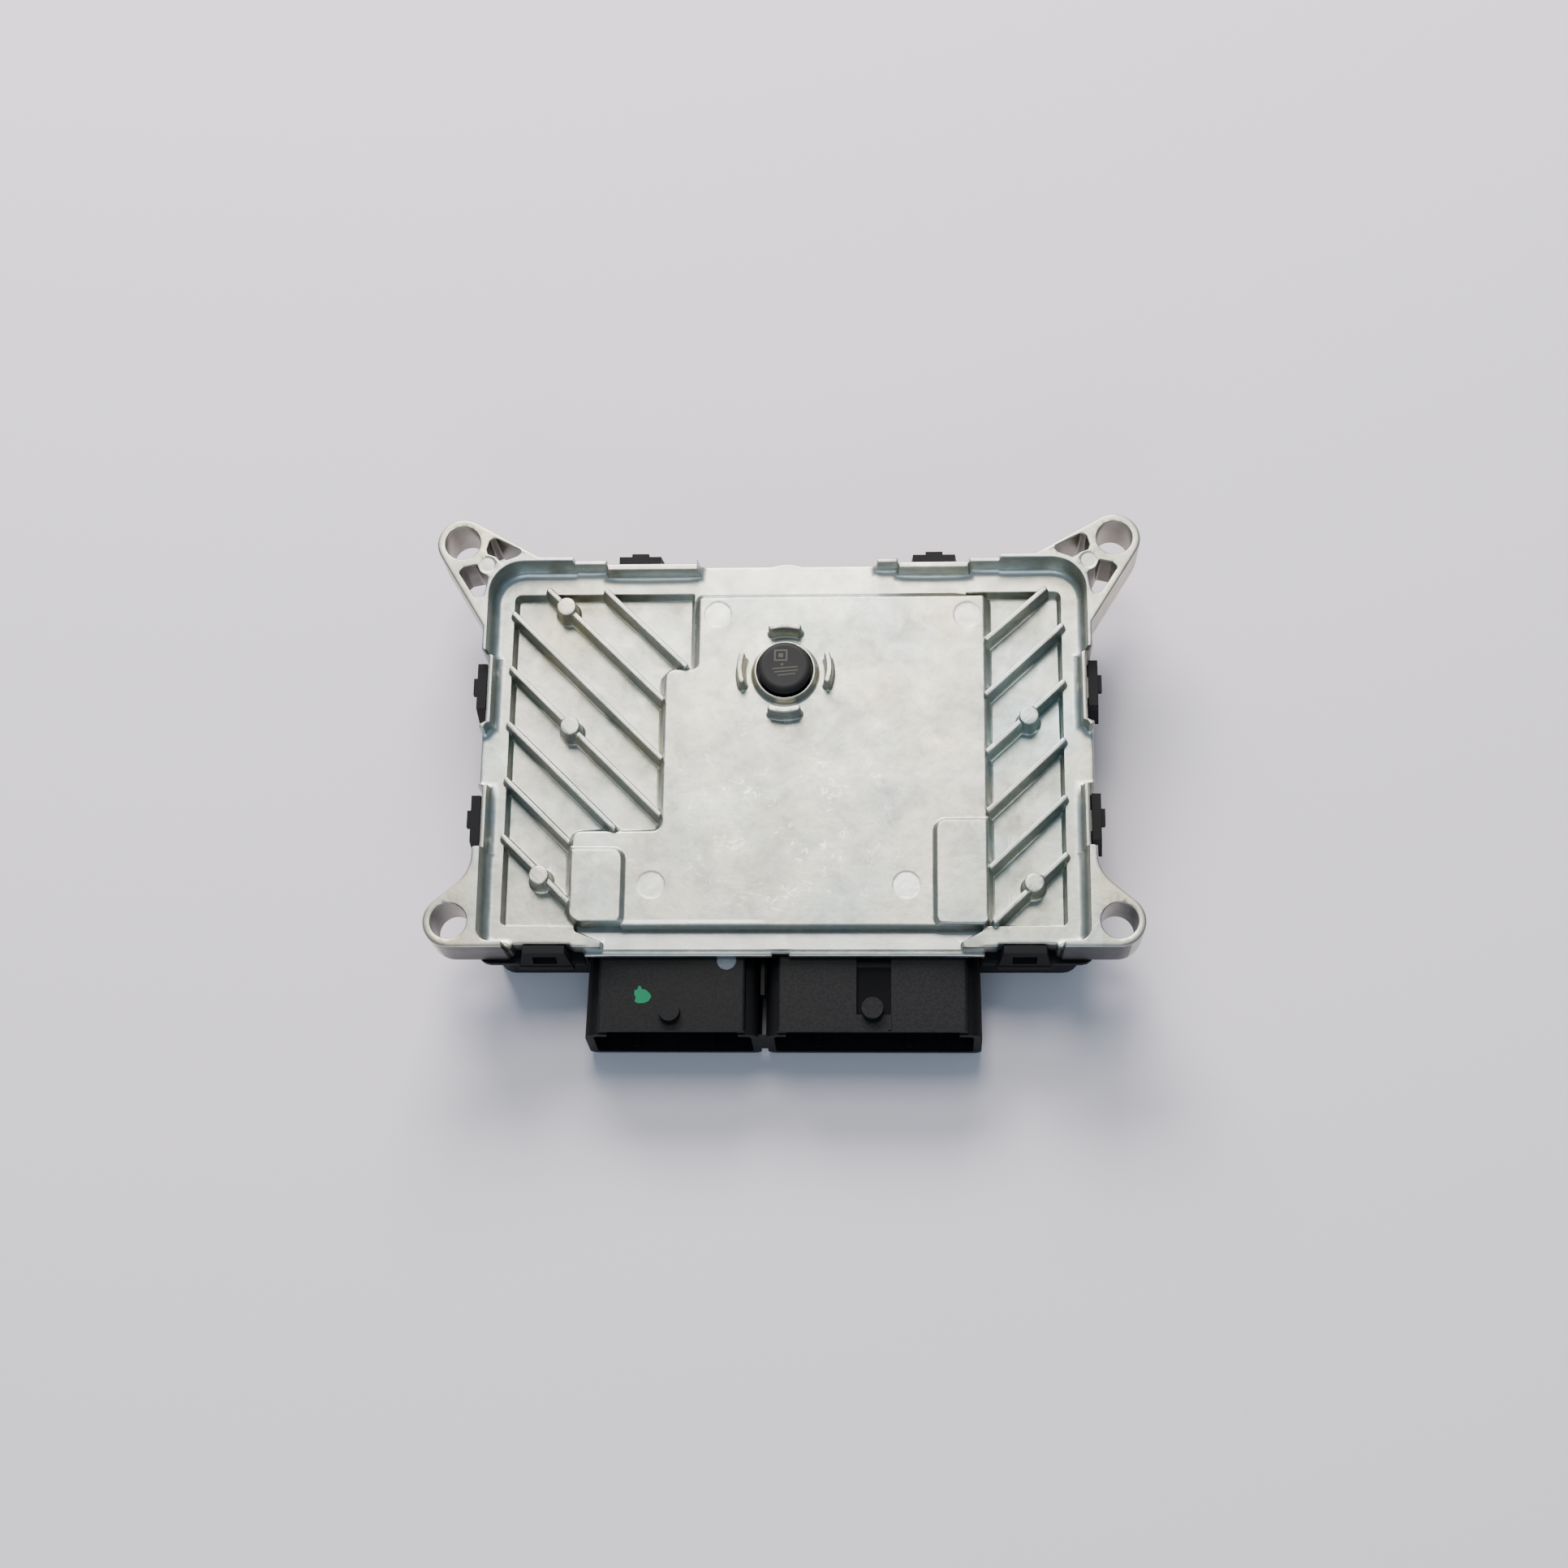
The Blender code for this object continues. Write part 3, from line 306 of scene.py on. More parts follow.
def box_sdf(P, x0, x1, y0, y1):
    cx, cy = (x0 + x1) / 2, (y0 + y1) / 2
    qx, qy = np.abs(P[:, 0] - cx) - (x1 - x0) / 2, np.abs(P[:, 1] - cy) - (y1 - y0) / 2
    return np.hypot(np.maximum(qx, 0), np.maximum(qy, 0)) + np.minimum(np.maximum(qx, qy), 0)


def top_height(P):
    """Height of the casting's upper side over the points P."""
    # lip level
    lip = np.full(len(P), RIM_Z)
    for b in LOW_LIP:
        d = box_sdf(P, *b)
        lip = np.minimum(lip, LIP_Z + (RIM_Z - LIP_Z) * np.clip(d / 0.35, 0, 1))
    # floor: ledge, fields, front ledge
    floor = np.full(len(P), LEDGE_Z)
    for f in (field_l, field_r):
        floor = np.minimum(floor, np.interp(-sdf(f, P), field_d, field_z))
    floor = np.minimum(floor, np.interp(-sdf(front, P, 8.0), front_d, front_z))
    edge = np.clip((P[:, 1] + 53.95) / 0.3, 0, 1)
    floor = np.where(np.abs(P[:, 0]) < 52.2, np.minimum(floor, 2.3 + (np.maximum(floor, 2.3) - 2.3) * edge), floor)
    # lip wall
    g = np.interp(-sdf(tray, P), tray_d, tray_g)
    z = floor + (lip - floor) * g
    steep = 1 + (STEEP - 1) * np.clip((-44.0 - P[:, 1]) / 2.0, 0, 1)
    for k, (poly, d, h) in enumerate(raised):
        s = sdf(poly, P) * (steep if k == 0 else 1.0)
        z = np.maximum(z, np.where(s <= d[-1], np.interp(s, d, h), -50.0))
    base = sdf(raised[0][0], P) * steep
    cap = FIELD_Z + (np.interp(base, raised[0][1], raised[0][2]) - FIELD_Z) * (PAD_Z - FIELD_Z) / (MIDDLE_Z - FIELD_Z)
    cap = np.where(base <= raised[0][1][-1], cap, -50.0)
    for poly, d, h in pads:
        s = sdf(poly, P)
        z = np.maximum(z, np.where(s <= d[-1], np.minimum(np.interp(s, d, h), cap), -50.0))
    # vent seat
    rv = np.hypot(P[:, 0] - VENT[0], P[:, 1] - VENT[1])
    z = np.where(rv < 7.4, np.minimum(z, 9.0 + np.clip((rv - 7.15) / 0.2, 0, 1) * 1.3), z)
    # ejector marks
    for x, y, r in MARKS:
        d = np.hypot(P[:, 0] - x, P[:, 1] - y) - r
        z = z - 0.12 * np.clip(-d / 0.6, 0, 1)
    for x, y, r in ARM_MARKS:
        d = np.hypot(P[:, 0] - x, P[:, 1] - y) - r
        z = z - 0.18 * np.clip(-d / 0.25, 0, 1)
    # rounded outer edge and hole edges
    for poly, sign, r in [(outline, -1.0, EDGE_R)] + [(h, 1.0, 0.32) for h in holes]:
        d = np.clip(sign * sdf(poly, P, 4.0), 0, r)
        z = z - (r - np.sqrt(np.maximum(r * r - (r - d) ** 2, 0)))
    return z


# =============================================================== meshing
class Plan:
    """Feature lines for a constrained triangulation."""

    def __init__(self):
        self.v, self.e = [], []

    def loop(self, poly, step=4.0):
        p = split_long(clean(poly), step)
        k = len(self.v)
        self.v += [Vector(q) for q in p]
        self.e += [(k + i, k + (i + 1) % len(p)) for i in range(len(p))]

    def dots(self, pts):
        self.v += [Vector(q) for q in pts]

    def solve(self, eps=2e-3):
        v, e, f, *_ = delaunay_2d_cdt(self.v, self.e, [], 0, eps)
        return np.array([tuple(q) for q in v]), np.array([tuple(t) for t in f])


def to_object(name, verts, faces, material=None, smooth=True):
    me = bpy.data.meshes.new(name)
    v = np.asarray(verts, float) + np.array([0, OY, OZ])
    me.from_pydata([tuple(q) for q in v * MM], [], [tuple(int(i) for i in f) for f in faces])
    me.validate()
    me.update()
    if smooth:
        me.polygons.foreach_set("use_smooth", [True] * len(me.polygons))
    ob = bpy.data.objects.new(name, me)
    scene.collection.objects.link(ob)
    if material:
        me.materials.append(material)
    return ob


def weighted(ob, angle=None):
    if angle is not None:
        m = ob.data
        bm = bmesh.new()
        bm.from_mesh(m)
        for e in bm.edges:
            if len(e.link_faces) == 2:
                e.smooth = e.calc_face_angle(0.0) < math.radians(angle)
        bm.to_mesh(m)
        bm.free()
    mod = ob.modifiers.new("weighted", "WEIGHTED_NORMAL")
    mod.mode = "FACE_AREA"
    mod.weight = 50
    mod.keep_sharp = True
    return ob


def build_housing(material):
    plan = Plan()
    plan.loop(outline, 3.0)
    for d in (0.04, 0.12, 0.26, EDGE_R, 1.0):
        plan.loop(grown(outline, -d), 3.0)
    for h in holes:
        plan.loop(h)
        for d in (0.03, 0.1, 0.32):
            plan.loop(grown(h, d))
    for d in tray_d:
        plan.loop(grown(tray, -d))
    for f in (field_l, field_r):
        for d in field_d:
            plan.loop(grown(f, -d))
    for d in front_d:
        plan.loop(grown(front, -d))
    plan.loop([(-49.8, -53.95), (49.8, -53.95), (49.8, -53.66), (-49.8, -53.66)], 1.0)
    for poly, d, h in raised + pads:
        for x in d:
            plan.loop(grown(poly, x))
    for x in raised[0][1]:
        plan.loop([q for q in grown(raised[0][0], x / STEEP) if q[1] < -43.9], 3.0)
    for x0, x1, y0, y1 in LOW_LIP:
        for g in (0.0, 0.35):
            plan.loop(boxy(x0 - g, x1 + g, y0 - g, y1 + g, 0))
    for r in (7.15, 7.35):
        plan.loop(circle(*VENT, r, 56))
    for x, y, r in MARKS + ARM_MARKS:
        for g in (0.05, -0.3, -0.62):
            plan.loop(circle(x, y, r + g, 36))
    # extra points where two walls meet
    gx, gy = np.meshgrid(np.arange(-76, 77, 0.45), np.arange(-54, 47, 0.45))
    grid = np.stack([gx.ravel(), gy.ravel()], 1)
    grid = grid + RNG.uniform(-0.05, 0.05, grid.shape)
    count = np.zeros(len(grid), int)
    for poly, d, h in raised + pads:
        s = sdf(poly, grid)
        count += ((s > d[0] - 0.1) & (s < d[-1] + 0.2)).astype(int)
    for f in (field_l, field_r):
        s = -sdf(f, grid)
        count += ((s > field_d[0] - 0.1) & (s < field_d[-1] + 0.2)).astype(int)
    plan.dots([tuple(p) for p in grid[count >= 2]])
    v2, tri = plan.solve()
    mid = v2[tri].mean(1)
    keep = sdf(outline, mid) < 0
    for h in holes:
        keep &= sdf(h, mid) > 0
    tri = tri[keep]
    # triangles counterclockwise
    a, b, c = v2[tri[:, 0]], v2[tri[:, 1]], v2[tri[:, 2]]
    turn = (b[:, 0] - a[:, 0]) * (c[:, 1] - a[:, 1]) - (b[:, 1] - a[:, 1]) * (c[:, 0] - a[:, 0])
    tri = tri[np.abs(turn) > 1e-9]
    turn = turn[np.abs(turn) > 1e-9]
    tri[turn < 0] = tri[turn < 0][:, ::-1]
    used = np.unique(tri)
    remap = -np.ones(len(v2), int)
    remap[used] = np.arange(len(used))
    v2, tri = v2[used], remap[tri]
    z = top_height(v2)
    verts = [(x, y, h) for (x, y), h in zip(v2, z)]
    faces = [tuple(t) for t in tri]
    # boundary edges, in the direction of their triangle
    seen = {}
    for t in tri:
        for i in range(3):
            e = (int(t[i]), int(t[(i + 1) % 3]))
            seen[e] = True
    rim = [e for e in seen if (e[1], e[0]) not in seen]
    # underside: flat levels with upright walls between them
    under = Plan()
    index = {}
    for e in rim:
        for i in e:
            if i not in index:
                index[i] = len(under.v)
                under.v.append(Vector(v2[i]))
    under.e += [(index[i], index[j]) for i, j in rim]
    levels = [(boxy(-73.0, 73.0, -46.9, 43.6, 5.0), 0.8)]
    levels.append((soften([(49.3, -46.4), (49.3, 37.0), (-21.0, 37.0), (-21.0, 17.0), (-29.1, 17.0),
                           (-29.1, -25.6), (-51.9, -25.6), (-51.9, -46.0)], 1.0, 2), 5.3))
    levels.append((boxy(-51.7, -42.4, -45.7, -31.2, 1.0, 2), 6.7))
    levels.append((boxy(39.9, 49.1, -46.1, -23.8, 1.0, 2), 6.7))
    for x0, x1, y0, y1 in ((-20.0, -2.0, -12.0, 4.0), (8.0, 26.0, -30.0, -14.0), (24.0, 40.0, 12.0, 28.0)):
        levels.append((boxy(x0, x1, y0, y1, 0), 2.9))
    levels.append((circle(*VENT, 4.3, 24), 8.9))
    for x, y in POSTS:
        levels.append((circle(x, y, 3.6, 20), 0.0))
        levels.append((circle(x, y, 1.55, 12), 6.4))
    levels.append(([(-49.3, -60), (49.1, -60), (49.1, -46.2), (-49.3, -46.2)], 0.8))
    for poly, _ in levels:
        under.loop(poly, 200.0)
    w2, wt = under.solve()
    mid = w2[wt].mean(1)
    keep = sdf(outline, mid) < 0
    for h in holes:
        keep &= sdf(h, mid) > 0
    wt = wt[keep]
    mid = mid[keep]
    lev = np.zeros(len(wt))
    for poly, zz in levels:
        lev = np.where(sdf(poly, mid, 200.0) < 0, zz, lev)
    a, b, c = w2[wt[:, 0]], w2[wt[:, 1]], w2[wt[:, 2]]
    turn = (b[:, 0] - a[:, 0]) * (c[:, 1] - a[:, 1]) - (b[:, 1] - a[:, 1]) * (c[:, 0] - a[:, 0])
    ok = np.abs(turn) > 1e-9
    wt, lev, turn = wt[ok], lev[ok], turn[ok]
    wt[turn < 0] = wt[turn < 0][:, ::-1]
    top_at = {(round(x, 3), round(y, 3)): z[i] for i, (x, y) in enumerate(v2)}
    made = {}

    def at(i, zz):
        key = (int(i), round(float(zz), 4))
        if key not in made:
            made[key] = len(verts)
            verts.append((w2[i][0], w2[i][1], float(zz)))
        return made[key]

    side = {}
    for t, l in zip(wt, lev):
        faces.append((at(t[2], l), at(t[1], l), at(t[0], l)))
        for i in range(3):
            side[(int(t[i]), int(t[(i + 1) % 3]))] = l
    for (i, j), l in side.items():
        other = side.get((j, i))
        if other is None:
            zi = top_at.get((round(w2[i][0], 3), round(w2[i][1], 3)))
            zj = top_at.get((round(w2[j][0], 3), round(w2[j][1], 3)))
            if zi is None or zj is None:
                continue
            faces.append((at(i, l), at(j, l), at(j, zj), at(i, zi)))
        elif other > l:
            faces.append((at(j, l), at(i, l), at(i, other), at(j, other)))
    # snap wedges on the outer walls, flat on top and sloped towards the cover
    for px, py, nx, ny, half_w, reach, z_low, z_high in WEDGES:
        k = len(verts)
        for d0, zt, zb in ((-0.25, z_high, z_low), (0.0, z_high, z_low), (reach - 0.15, z_high, z_high - 1.0),
                           (reach, z_high - 0.15, z_high - 1.0)):
            for t in (-half_w, half_w):
                for h in (zt, zb):
                    verts.append((px + nx * d0 - ny * t, py + ny * d0 + nx * t, h))
        for i in range(3):
            a = k + 4 * i
            faces += [(a, a + 2, a + 6, a + 4), (a + 1, a + 5, a + 7, a + 3),
                      (a, a + 4, a + 5, a + 1), (a + 2, a + 3, a + 7, a + 6)]
        faces += [(k, k + 1, k + 3, k + 2), (k + 12, k + 14, k + 15, k + 13)]
    ob = to_object("housing_casting", verts, faces, material)
    bm = bmesh.new()
    bm.from_mesh(ob.data)
    bmesh.ops.remove_doubles(bm, verts=bm.verts, dist=2e-6)
    bmesh.ops.dissolve_degenerate(bm, dist=1e-7, edges=bm.edges)
    bm.to_mesh(ob.data)
    bm.free()
    return ob


# =============================================================== materials
def nodes_of(name, base, rough, metal=0.0):
    m = bpy.data.materials.new(name)
    m.use_nodes = True
    nt = m.node_tree
    b = nt.nodes["Principled BSDF"]
    b.inputs["Base Color"].default_value = (*base, 1)
    b.inputs["Roughness"].default_value = rough
    b.inputs["Metallic"].default_value = metal
    return m, nt, b


def node(nt, kind, **kw):
    n = nt.nodes.new(kind)
    for k, v in kw.items():
        if k in n.inputs:
            n.inputs[k].default_value = v
        else:
            setattr(n, k, v)
    return n


def noise(nt, scale, detail=3.0, rough=0.5, vector=None, distortion=0.0):
    n = node(nt, "ShaderNodeTexNoise")
    n.inputs["Scale"].default_value = scale
    n.inputs["Detail"].default_value = detail
    n.inputs["Roughness"].default_value = rough
    n.inputs["Distortion"].default_value = distortion
    if vector is not None:
        nt.links.new(vector, n.inputs["Vector"])
    return n


def ramp(nt, fac, stops):
    r = node(nt, "ShaderNodeValToRGB")
    el = r.color_ramp.elements
    while len(el) < len(stops):
        el.new(0.5)
    for e, (p, c) in zip(el, stops):
        e.position = p
        e.color = (*c, 1) if len(c) == 3 else c
    nt.links.new(fac, r.inputs["Fac"])
    return r


def mixc(nt, fac, a, b, kind="MIX"):
    m = node(nt, "ShaderNodeMix", data_type="RGBA", blend_type=kind)
    for s, v in ((m.inputs[0], fac), (m.inputs[6], a), (m.inputs[7], b)):
        if isinstance(v, bpy.types.NodeSocket):
            nt.links.new(v, s)
        else:
            s.default_value = (*v, 1) if isinstance(v, tuple) and len(v) == 3 else v
    return m.outputs[2]


def grey(v):
    return (v, v, v)


def maths(nt, op, a, b=None, clamp=False):
    m = node(nt, "ShaderNodeMath", operation=op, use_clamp=clamp)
    for sock, v in ((m.inputs[0], a), (m.inputs[1], b)):
        if isinstance(v, bpy.types.NodeSocket):
            nt.links.new(v, sock)
        elif v is not None:
            sock.default_value = v
    return m.outputs[0]


def near(nt, P, centre, r0, r1):
    """1 within r0 of a point, fading to 0 at r1 (design millimetres)."""
    d = node(nt, "ShaderNodeVectorMath", operation="DISTANCE")
    nt.links.new(P, d.inputs[0])
    d.inputs[1].default_value = (centre[0] * MM, (centre[1] + OY) * MM, (centre[2] + OZ) * MM)
    m = node(nt, "ShaderNodeMapRange", interpolation_type="SMOOTHSTEP")
    nt.links.new(d.outputs["Value"], m.inputs["Value"])
    for k, v in (("From Min", r0 * MM), ("From Max", r1 * MM), ("To Min", 1.0), ("To Max", 0.0)):
        m.inputs[k].default_value = v
    return m.outputs["Result"]


def squiggles(nt, P, scale, width, keep, seed):
    """Short wandering lines: level lines of a noise, kept only here and there."""
    mp = node(nt, "ShaderNodeMapping")
    mp.inputs["Location"].default_value = (seed, seed * 0.37, 0)
    nt.links.new(P, mp.inputs["Vector"])
    n = noise(nt, scale, 3.0, 0.55, mp.outputs["Vector"], 0.6)
    line = maths(nt, "ABSOLUTE", maths(nt, "SUBTRACT", n.outputs["Fac"], 0.5))
    line = maths(nt, "SUBTRACT", 1.0, maths(nt, "DIVIDE", line, width), True)
    gate = noise(nt, scale * 0.9, 2.0, 0.5, mp.outputs["Vector"])
    m = node(nt, "ShaderNodeMapRange")
    nt.links.new(gate.outputs["Fac"], m.inputs["Value"])
    m.inputs["From Min"].default_value = keep
    m.inputs["From Max"].default_value = keep + 0.03
    return maths(nt, "MULTIPLY", line, m.outputs["Result"])


def specks(nt, P, scale, size):
    v = node(nt, "ShaderNodeTexVoronoi")
    v.inputs["Scale"].default_value = scale
    nt.links.new(P, v.inputs["Vector"])
    return maths(nt, "SUBTRACT", 1.0, maths(nt, "DIVIDE", v.outputs["Distance"], size), True)


def band(nt, value, lo, hi, soft):
    """1 between lo and hi (metres), with soft ends."""
    a = node(nt, "ShaderNodeMapRange", interpolation_type="SMOOTHSTEP")
    b = node(nt, "ShaderNodeMapRange", interpolation_type="SMOOTHSTEP")
    for m, x0, x1 in ((a, lo - soft, lo), (b, hi + soft, hi)):
        nt.links.new(value, m.inputs["Value"])
        m.inputs["From Min"].default_value = x0
        m.inputs["From Max"].default_value = x1
    return maths(nt, "MULTIPLY", a.outputs["Result"], b.outputs["Result"])


def cast_metal(name, base, tint, rough=0.38, wave=0.00012, casting=False):
    m, nt, b = nodes_of(name, base, rough, 1.0)
    tc = node(nt, "ShaderNodeTexCoord")
    P = tc.outputs["Object"]
    big = noise(nt, 26.0, 4.0, 0.6, P, 0.3)
    cloud = noise(nt, 95.0, 6.0, 0.66, P, 0.35)
    mid = noise(nt, 420.0, 5.0, 0.66, P)
    fine = noise(nt, 2200.0, 2.0, 0.6, P)
    c1 = ramp(nt, big.outputs["Fac"], [(0.40, tint), (0.60, base)])
    c2 = ramp(nt, cloud.outputs["Fac"], [(0.30, grey(0.80)), (0.46, grey(0.94)), (0.60, grey(1.0)), (0.74, grey(1.07))])
    c3 = ramp(nt, mid.outputs["Fac"], [(0.30, grey(0.84)), (0.5, grey(0.98)), (0.7, grey(1.06))])
    col = mixc(nt, 1.0, c1.outputs["Color"], c2.outputs["Color"], "MULTIPLY")
    col = mixc(nt, 1.0, col, c3.outputs["Color"], "MULTIPLY")
    r = ramp(nt, cloud.outputs["Fac"], [(0.3, grey(rough + 0.08)), (0.7, grey(rough - 0.05))])
    if casting:
        # blue-green film towards the edges of the fields
        blotch = ramp(nt, cloud.outputs["Fac"], [(0.35, grey(0.25)), (0.6, grey(0.9))])
        hue = noise(nt, 34.0, 2.0, 0.5, P)
        film = ramp(nt, hue.outputs["Fac"], [(0.54, (1, 1, 1)), (0.66, (0.90, 1.0, 1.06))])
        warm = ramp(nt, hue.outputs["Fac"], [(0.32, (1.04, 1.0, 0.89)), (0.46, (1, 1, 1))])
        col = mixc(nt, 1.0, col, film.outputs["Color"], "MULTIPLY")
        col = mixc(nt, 1.0, col, warm.outputs["Color"], "MULTIPLY")
        # rubbed streaks on the lower middle, and small pale specks; the round ejector marks get a painted highlight
        # further down
        zone = near(nt, P, (0.0, -20.0, MIDDLE_Z), 12.0, 40.0)
        st = maths(nt, "ADD", squiggles(nt, P, 190.0, 0.030, 0.60, 3.1), squiggles(nt, P, 260.0, 0.034, 0.61, 9.7), True)
        st = maths(nt, "MULTIPLY", st, zone)
        sp = maths(nt, "MULTIPLY", specks(nt, P, 330.0, 0.085), 0.8)
        st = maths(nt, "ADD", st, sp, True)
        # painted highlight along the left half of the plateau's front edge, standing in for light on its rounded top
        # edge
        sep = node(nt, "ShaderNodeSeparateXYZ")
        nt.links.new(P, sep.inputs[0])
        edge_highlight = maths(nt, "MULTIPLY", band(nt, sep.outputs[0], -0.0395, -0.006, 0.003),
                    band(nt, sep.outputs[1], (-47.75 + OY) * MM, (-47.25 + OY) * MM, 0.0003))
        st = maths(nt, "ADD", st, edge_highlight, True)
        col = mixc(nt, maths(nt, "MULTIPLY", st, 0.8), col, (0.84, 0.85, 0.83))
        X, Y, Z = sep.outputs
        flat = band(nt, X, -0.052, 0.052, 0.002)
        # painted light on the strip in front of the plateau, painted shade at the foot of the plateau's front wall
        strip_light = maths(nt, "MULTIPLY", flat, band(nt, Y, (-53.9 + OY) * MM, (-49.6 + OY) * MM, 0.0003))
        strip_light = maths(nt, "MULTIPLY", strip_light, band(nt, Z, (1.0 + OZ) * MM, (4.2 + OZ) * MM, 0.001))
        col = mixc(nt, maths(nt, "MULTIPLY", strip_light, 0.85), col, (0.74, 0.73, 0.70))
        foot = maths(nt, "MULTIPLY", flat, band(nt, Y, (-49.4 + OY) * MM, (-48.2 + OY) * MM, 0.0002))
        foot = maths(nt, "MULTIPLY", foot, band(nt, Z, (3.4 + OZ) * MM, (6.6 + OZ) * MM, 0.0005))
        col = mixc(nt, maths(nt, "MULTIPLY", foot, 0.4), col, (0.16, 0.15, 0.14))
        # painted shade in the corners beside the strip, in the arms' pockets and down the bores
        for x, y, z, r0, r1, k in ((-52.2, -49.4, 4.4, 0.5, 1.5, 0.9), (50.4, -49.4, 4.4, 0.4, 1.3, 0.9)):
            col = mixc(nt, maths(nt, "MULTIPLY", near(nt, P, (x, y, z), r0, r1), k), col, (0.02, 0.02, 0.02))
        low = band(nt, Z, OZ * MM, (13.0 + OZ) * MM, 0.0006)
        drop = node(nt, "ShaderNodeVectorMath", operation="MULTIPLY")
        nt.links.new(P, drop.inputs[0])
        drop.inputs[1].default_value = (1.0, 1.0, 0.0)
        Q = drop.outputs["Vector"]
        normal = node(nt, "ShaderNodeNewGeometry").outputs["True Normal"]

        def inwards(x, y, r):
            """1 on walls within r of a point that face it."""
            sub = node(nt, "ShaderNodeVectorMath", operation="SUBTRACT")
            nt.links.new(Q, sub.inputs[0])
            sub.inputs[1].default_value = (x * MM, (y + OY) * MM, 0.0)
            dot = node(nt, "ShaderNodeVectorMath", operation="DOT_PRODUCT")
            nt.links.new(sub.outputs["Vector"], dot.inputs[0])
            nt.links.new(normal, dot.inputs[1])
            return maths(nt, "MULTIPLY", near(nt, Q, (x, y, -OZ), r, r + 0.3),
                         maths(nt, "LESS_THAN", dot.outputs["Value"], -0.0002))

        deep, bore = None, None
        for side in (-1, 1):
            for x, y, rr in ((72.8, 49.9, 5.4), (80.1, 41.2, 5.8)):
                d = inwards(side * x, y, rr)
                deep = d if deep is None else maths(nt, "ADD", deep, d, True)
            for x, y in (REAR_BOSS[:2], FRONT_EAR[:2]):
                d = inwards(side * x, y, 4.8)
                bore = d if bore is None else maths(nt, "ADD", bore, d, True)
        col = mixc(nt, maths(nt, "MULTIPLY", maths(nt, "MULTIPLY", deep, low), 0.52), col, (0.13, 0.12, 0.11))
        col = mixc(nt, maths(nt, "MULTIPLY", maths(nt, "MULTIPLY", bore, low), 0.6), col, (0.16, 0.145, 0.135))
        # duller, warmer arms; bluish right field; painted bluish reflection at the foot of the lip
        arms = maths(nt, "MAXIMUM", maths(nt, "SUBTRACT", 1.0, band(nt, X, -0.0777, 0.0777, 0.0003)),
                     band(nt, Y, (48.2 + OY) * MM, 0.1, 0.0003))
        col = mixc(nt, arms, col, mixc(nt, 1.0, col, (0.98, 0.945, 0.87), "MULTIPLY"))
        cool = maths(nt, "MULTIPLY", band(nt, X, 0.0515, 0.0725, 0.0008), band(nt, Y, -0.045, 0.030, 0.02))
        cool = maths(nt, "MULTIPLY", cool, blotch.outputs["Color"])
        col = mixc(nt, cool, col, mixc(nt, 1.0, col, (0.90, 1.0, 1.06), "MULTIPLY"))
        lip_reflection = maths(nt, "MULTIPLY", band(nt, Z, (6.04 + OZ) * MM, (8.6 + OZ) * MM, 0.00003),
                      maths(nt, "MAXIMUM", band(nt, Y, (42.2 + OY) * MM, (47.0 + OY) * MM, 0.0003),
                            maths(nt, "SUBTRACT", 1.0, band(nt, X, -0.0722, 0.0722, 0.0003))))
        lip_reflection = maths(nt, "MULTIPLY", lip_reflection, maths(nt, "SUBTRACT", 1.0, arms))
        col = mixc(nt, lip_reflection, col, mixc(nt, 1.0, col, (0.99, 1.05, 1.12), "MULTIPLY"))
        # painted shade on the seat around the plug and on the front walls of the ears, painted highlight on the rear
        # ledge
        seat = maths(nt, "MULTIPLY", near(nt, Q, (VENT[0], VENT[1], -OZ), 7.2, 7.35),
                     band(nt, Z, (8.0 + OZ) * MM, (10.15 + OZ) * MM, 0.0001))
        col = mixc(nt, seat, col, (0.012, 0.012, 0.012))
        ear = maths(nt, "MULTIPLY", band(nt, Y, (-60.0 + OY) * MM, (-54.9 + OY) * MM, 0.0002),
                    maths(nt, "SUBTRACT", 1.0, band(nt, X, -0.066, 0.066, 0.001)))
        ear = maths(nt, "MULTIPLY", ear, low)
        col = mixc(nt, maths(nt, "MULTIPLY", ear, 0.94), col, (0.075, 0.07, 0.066))
        rear = maths(nt, "MULTIPLY", band(nt, Y, (40.2 + OY) * MM, (47.0 + OY) * MM, 0.0008),
                     band(nt, Z, (5.5 + OZ) * MM, (6.5 + OZ) * MM, 0.0003))
        rear = maths(nt, "MULTIPLY", rear, band(nt, X, -0.062, 0.066, 0.006))
        col = mixc(nt, maths(nt, "MULTIPLY", rear, 0.55), col, (0.72, 0.69, 0.60))
        # painted highlight along the casting's front edge
        lip = maths(nt, "MULTIPLY", band(nt, Y, (-55.6 + OY) * MM, (-55.0 + OY) * MM, 0.0002),
                    band(nt, X, -0.0495, 0.0495, 0.0005))
        col = mixc(nt, lip, col, (0.85, 0.85, 0.82))
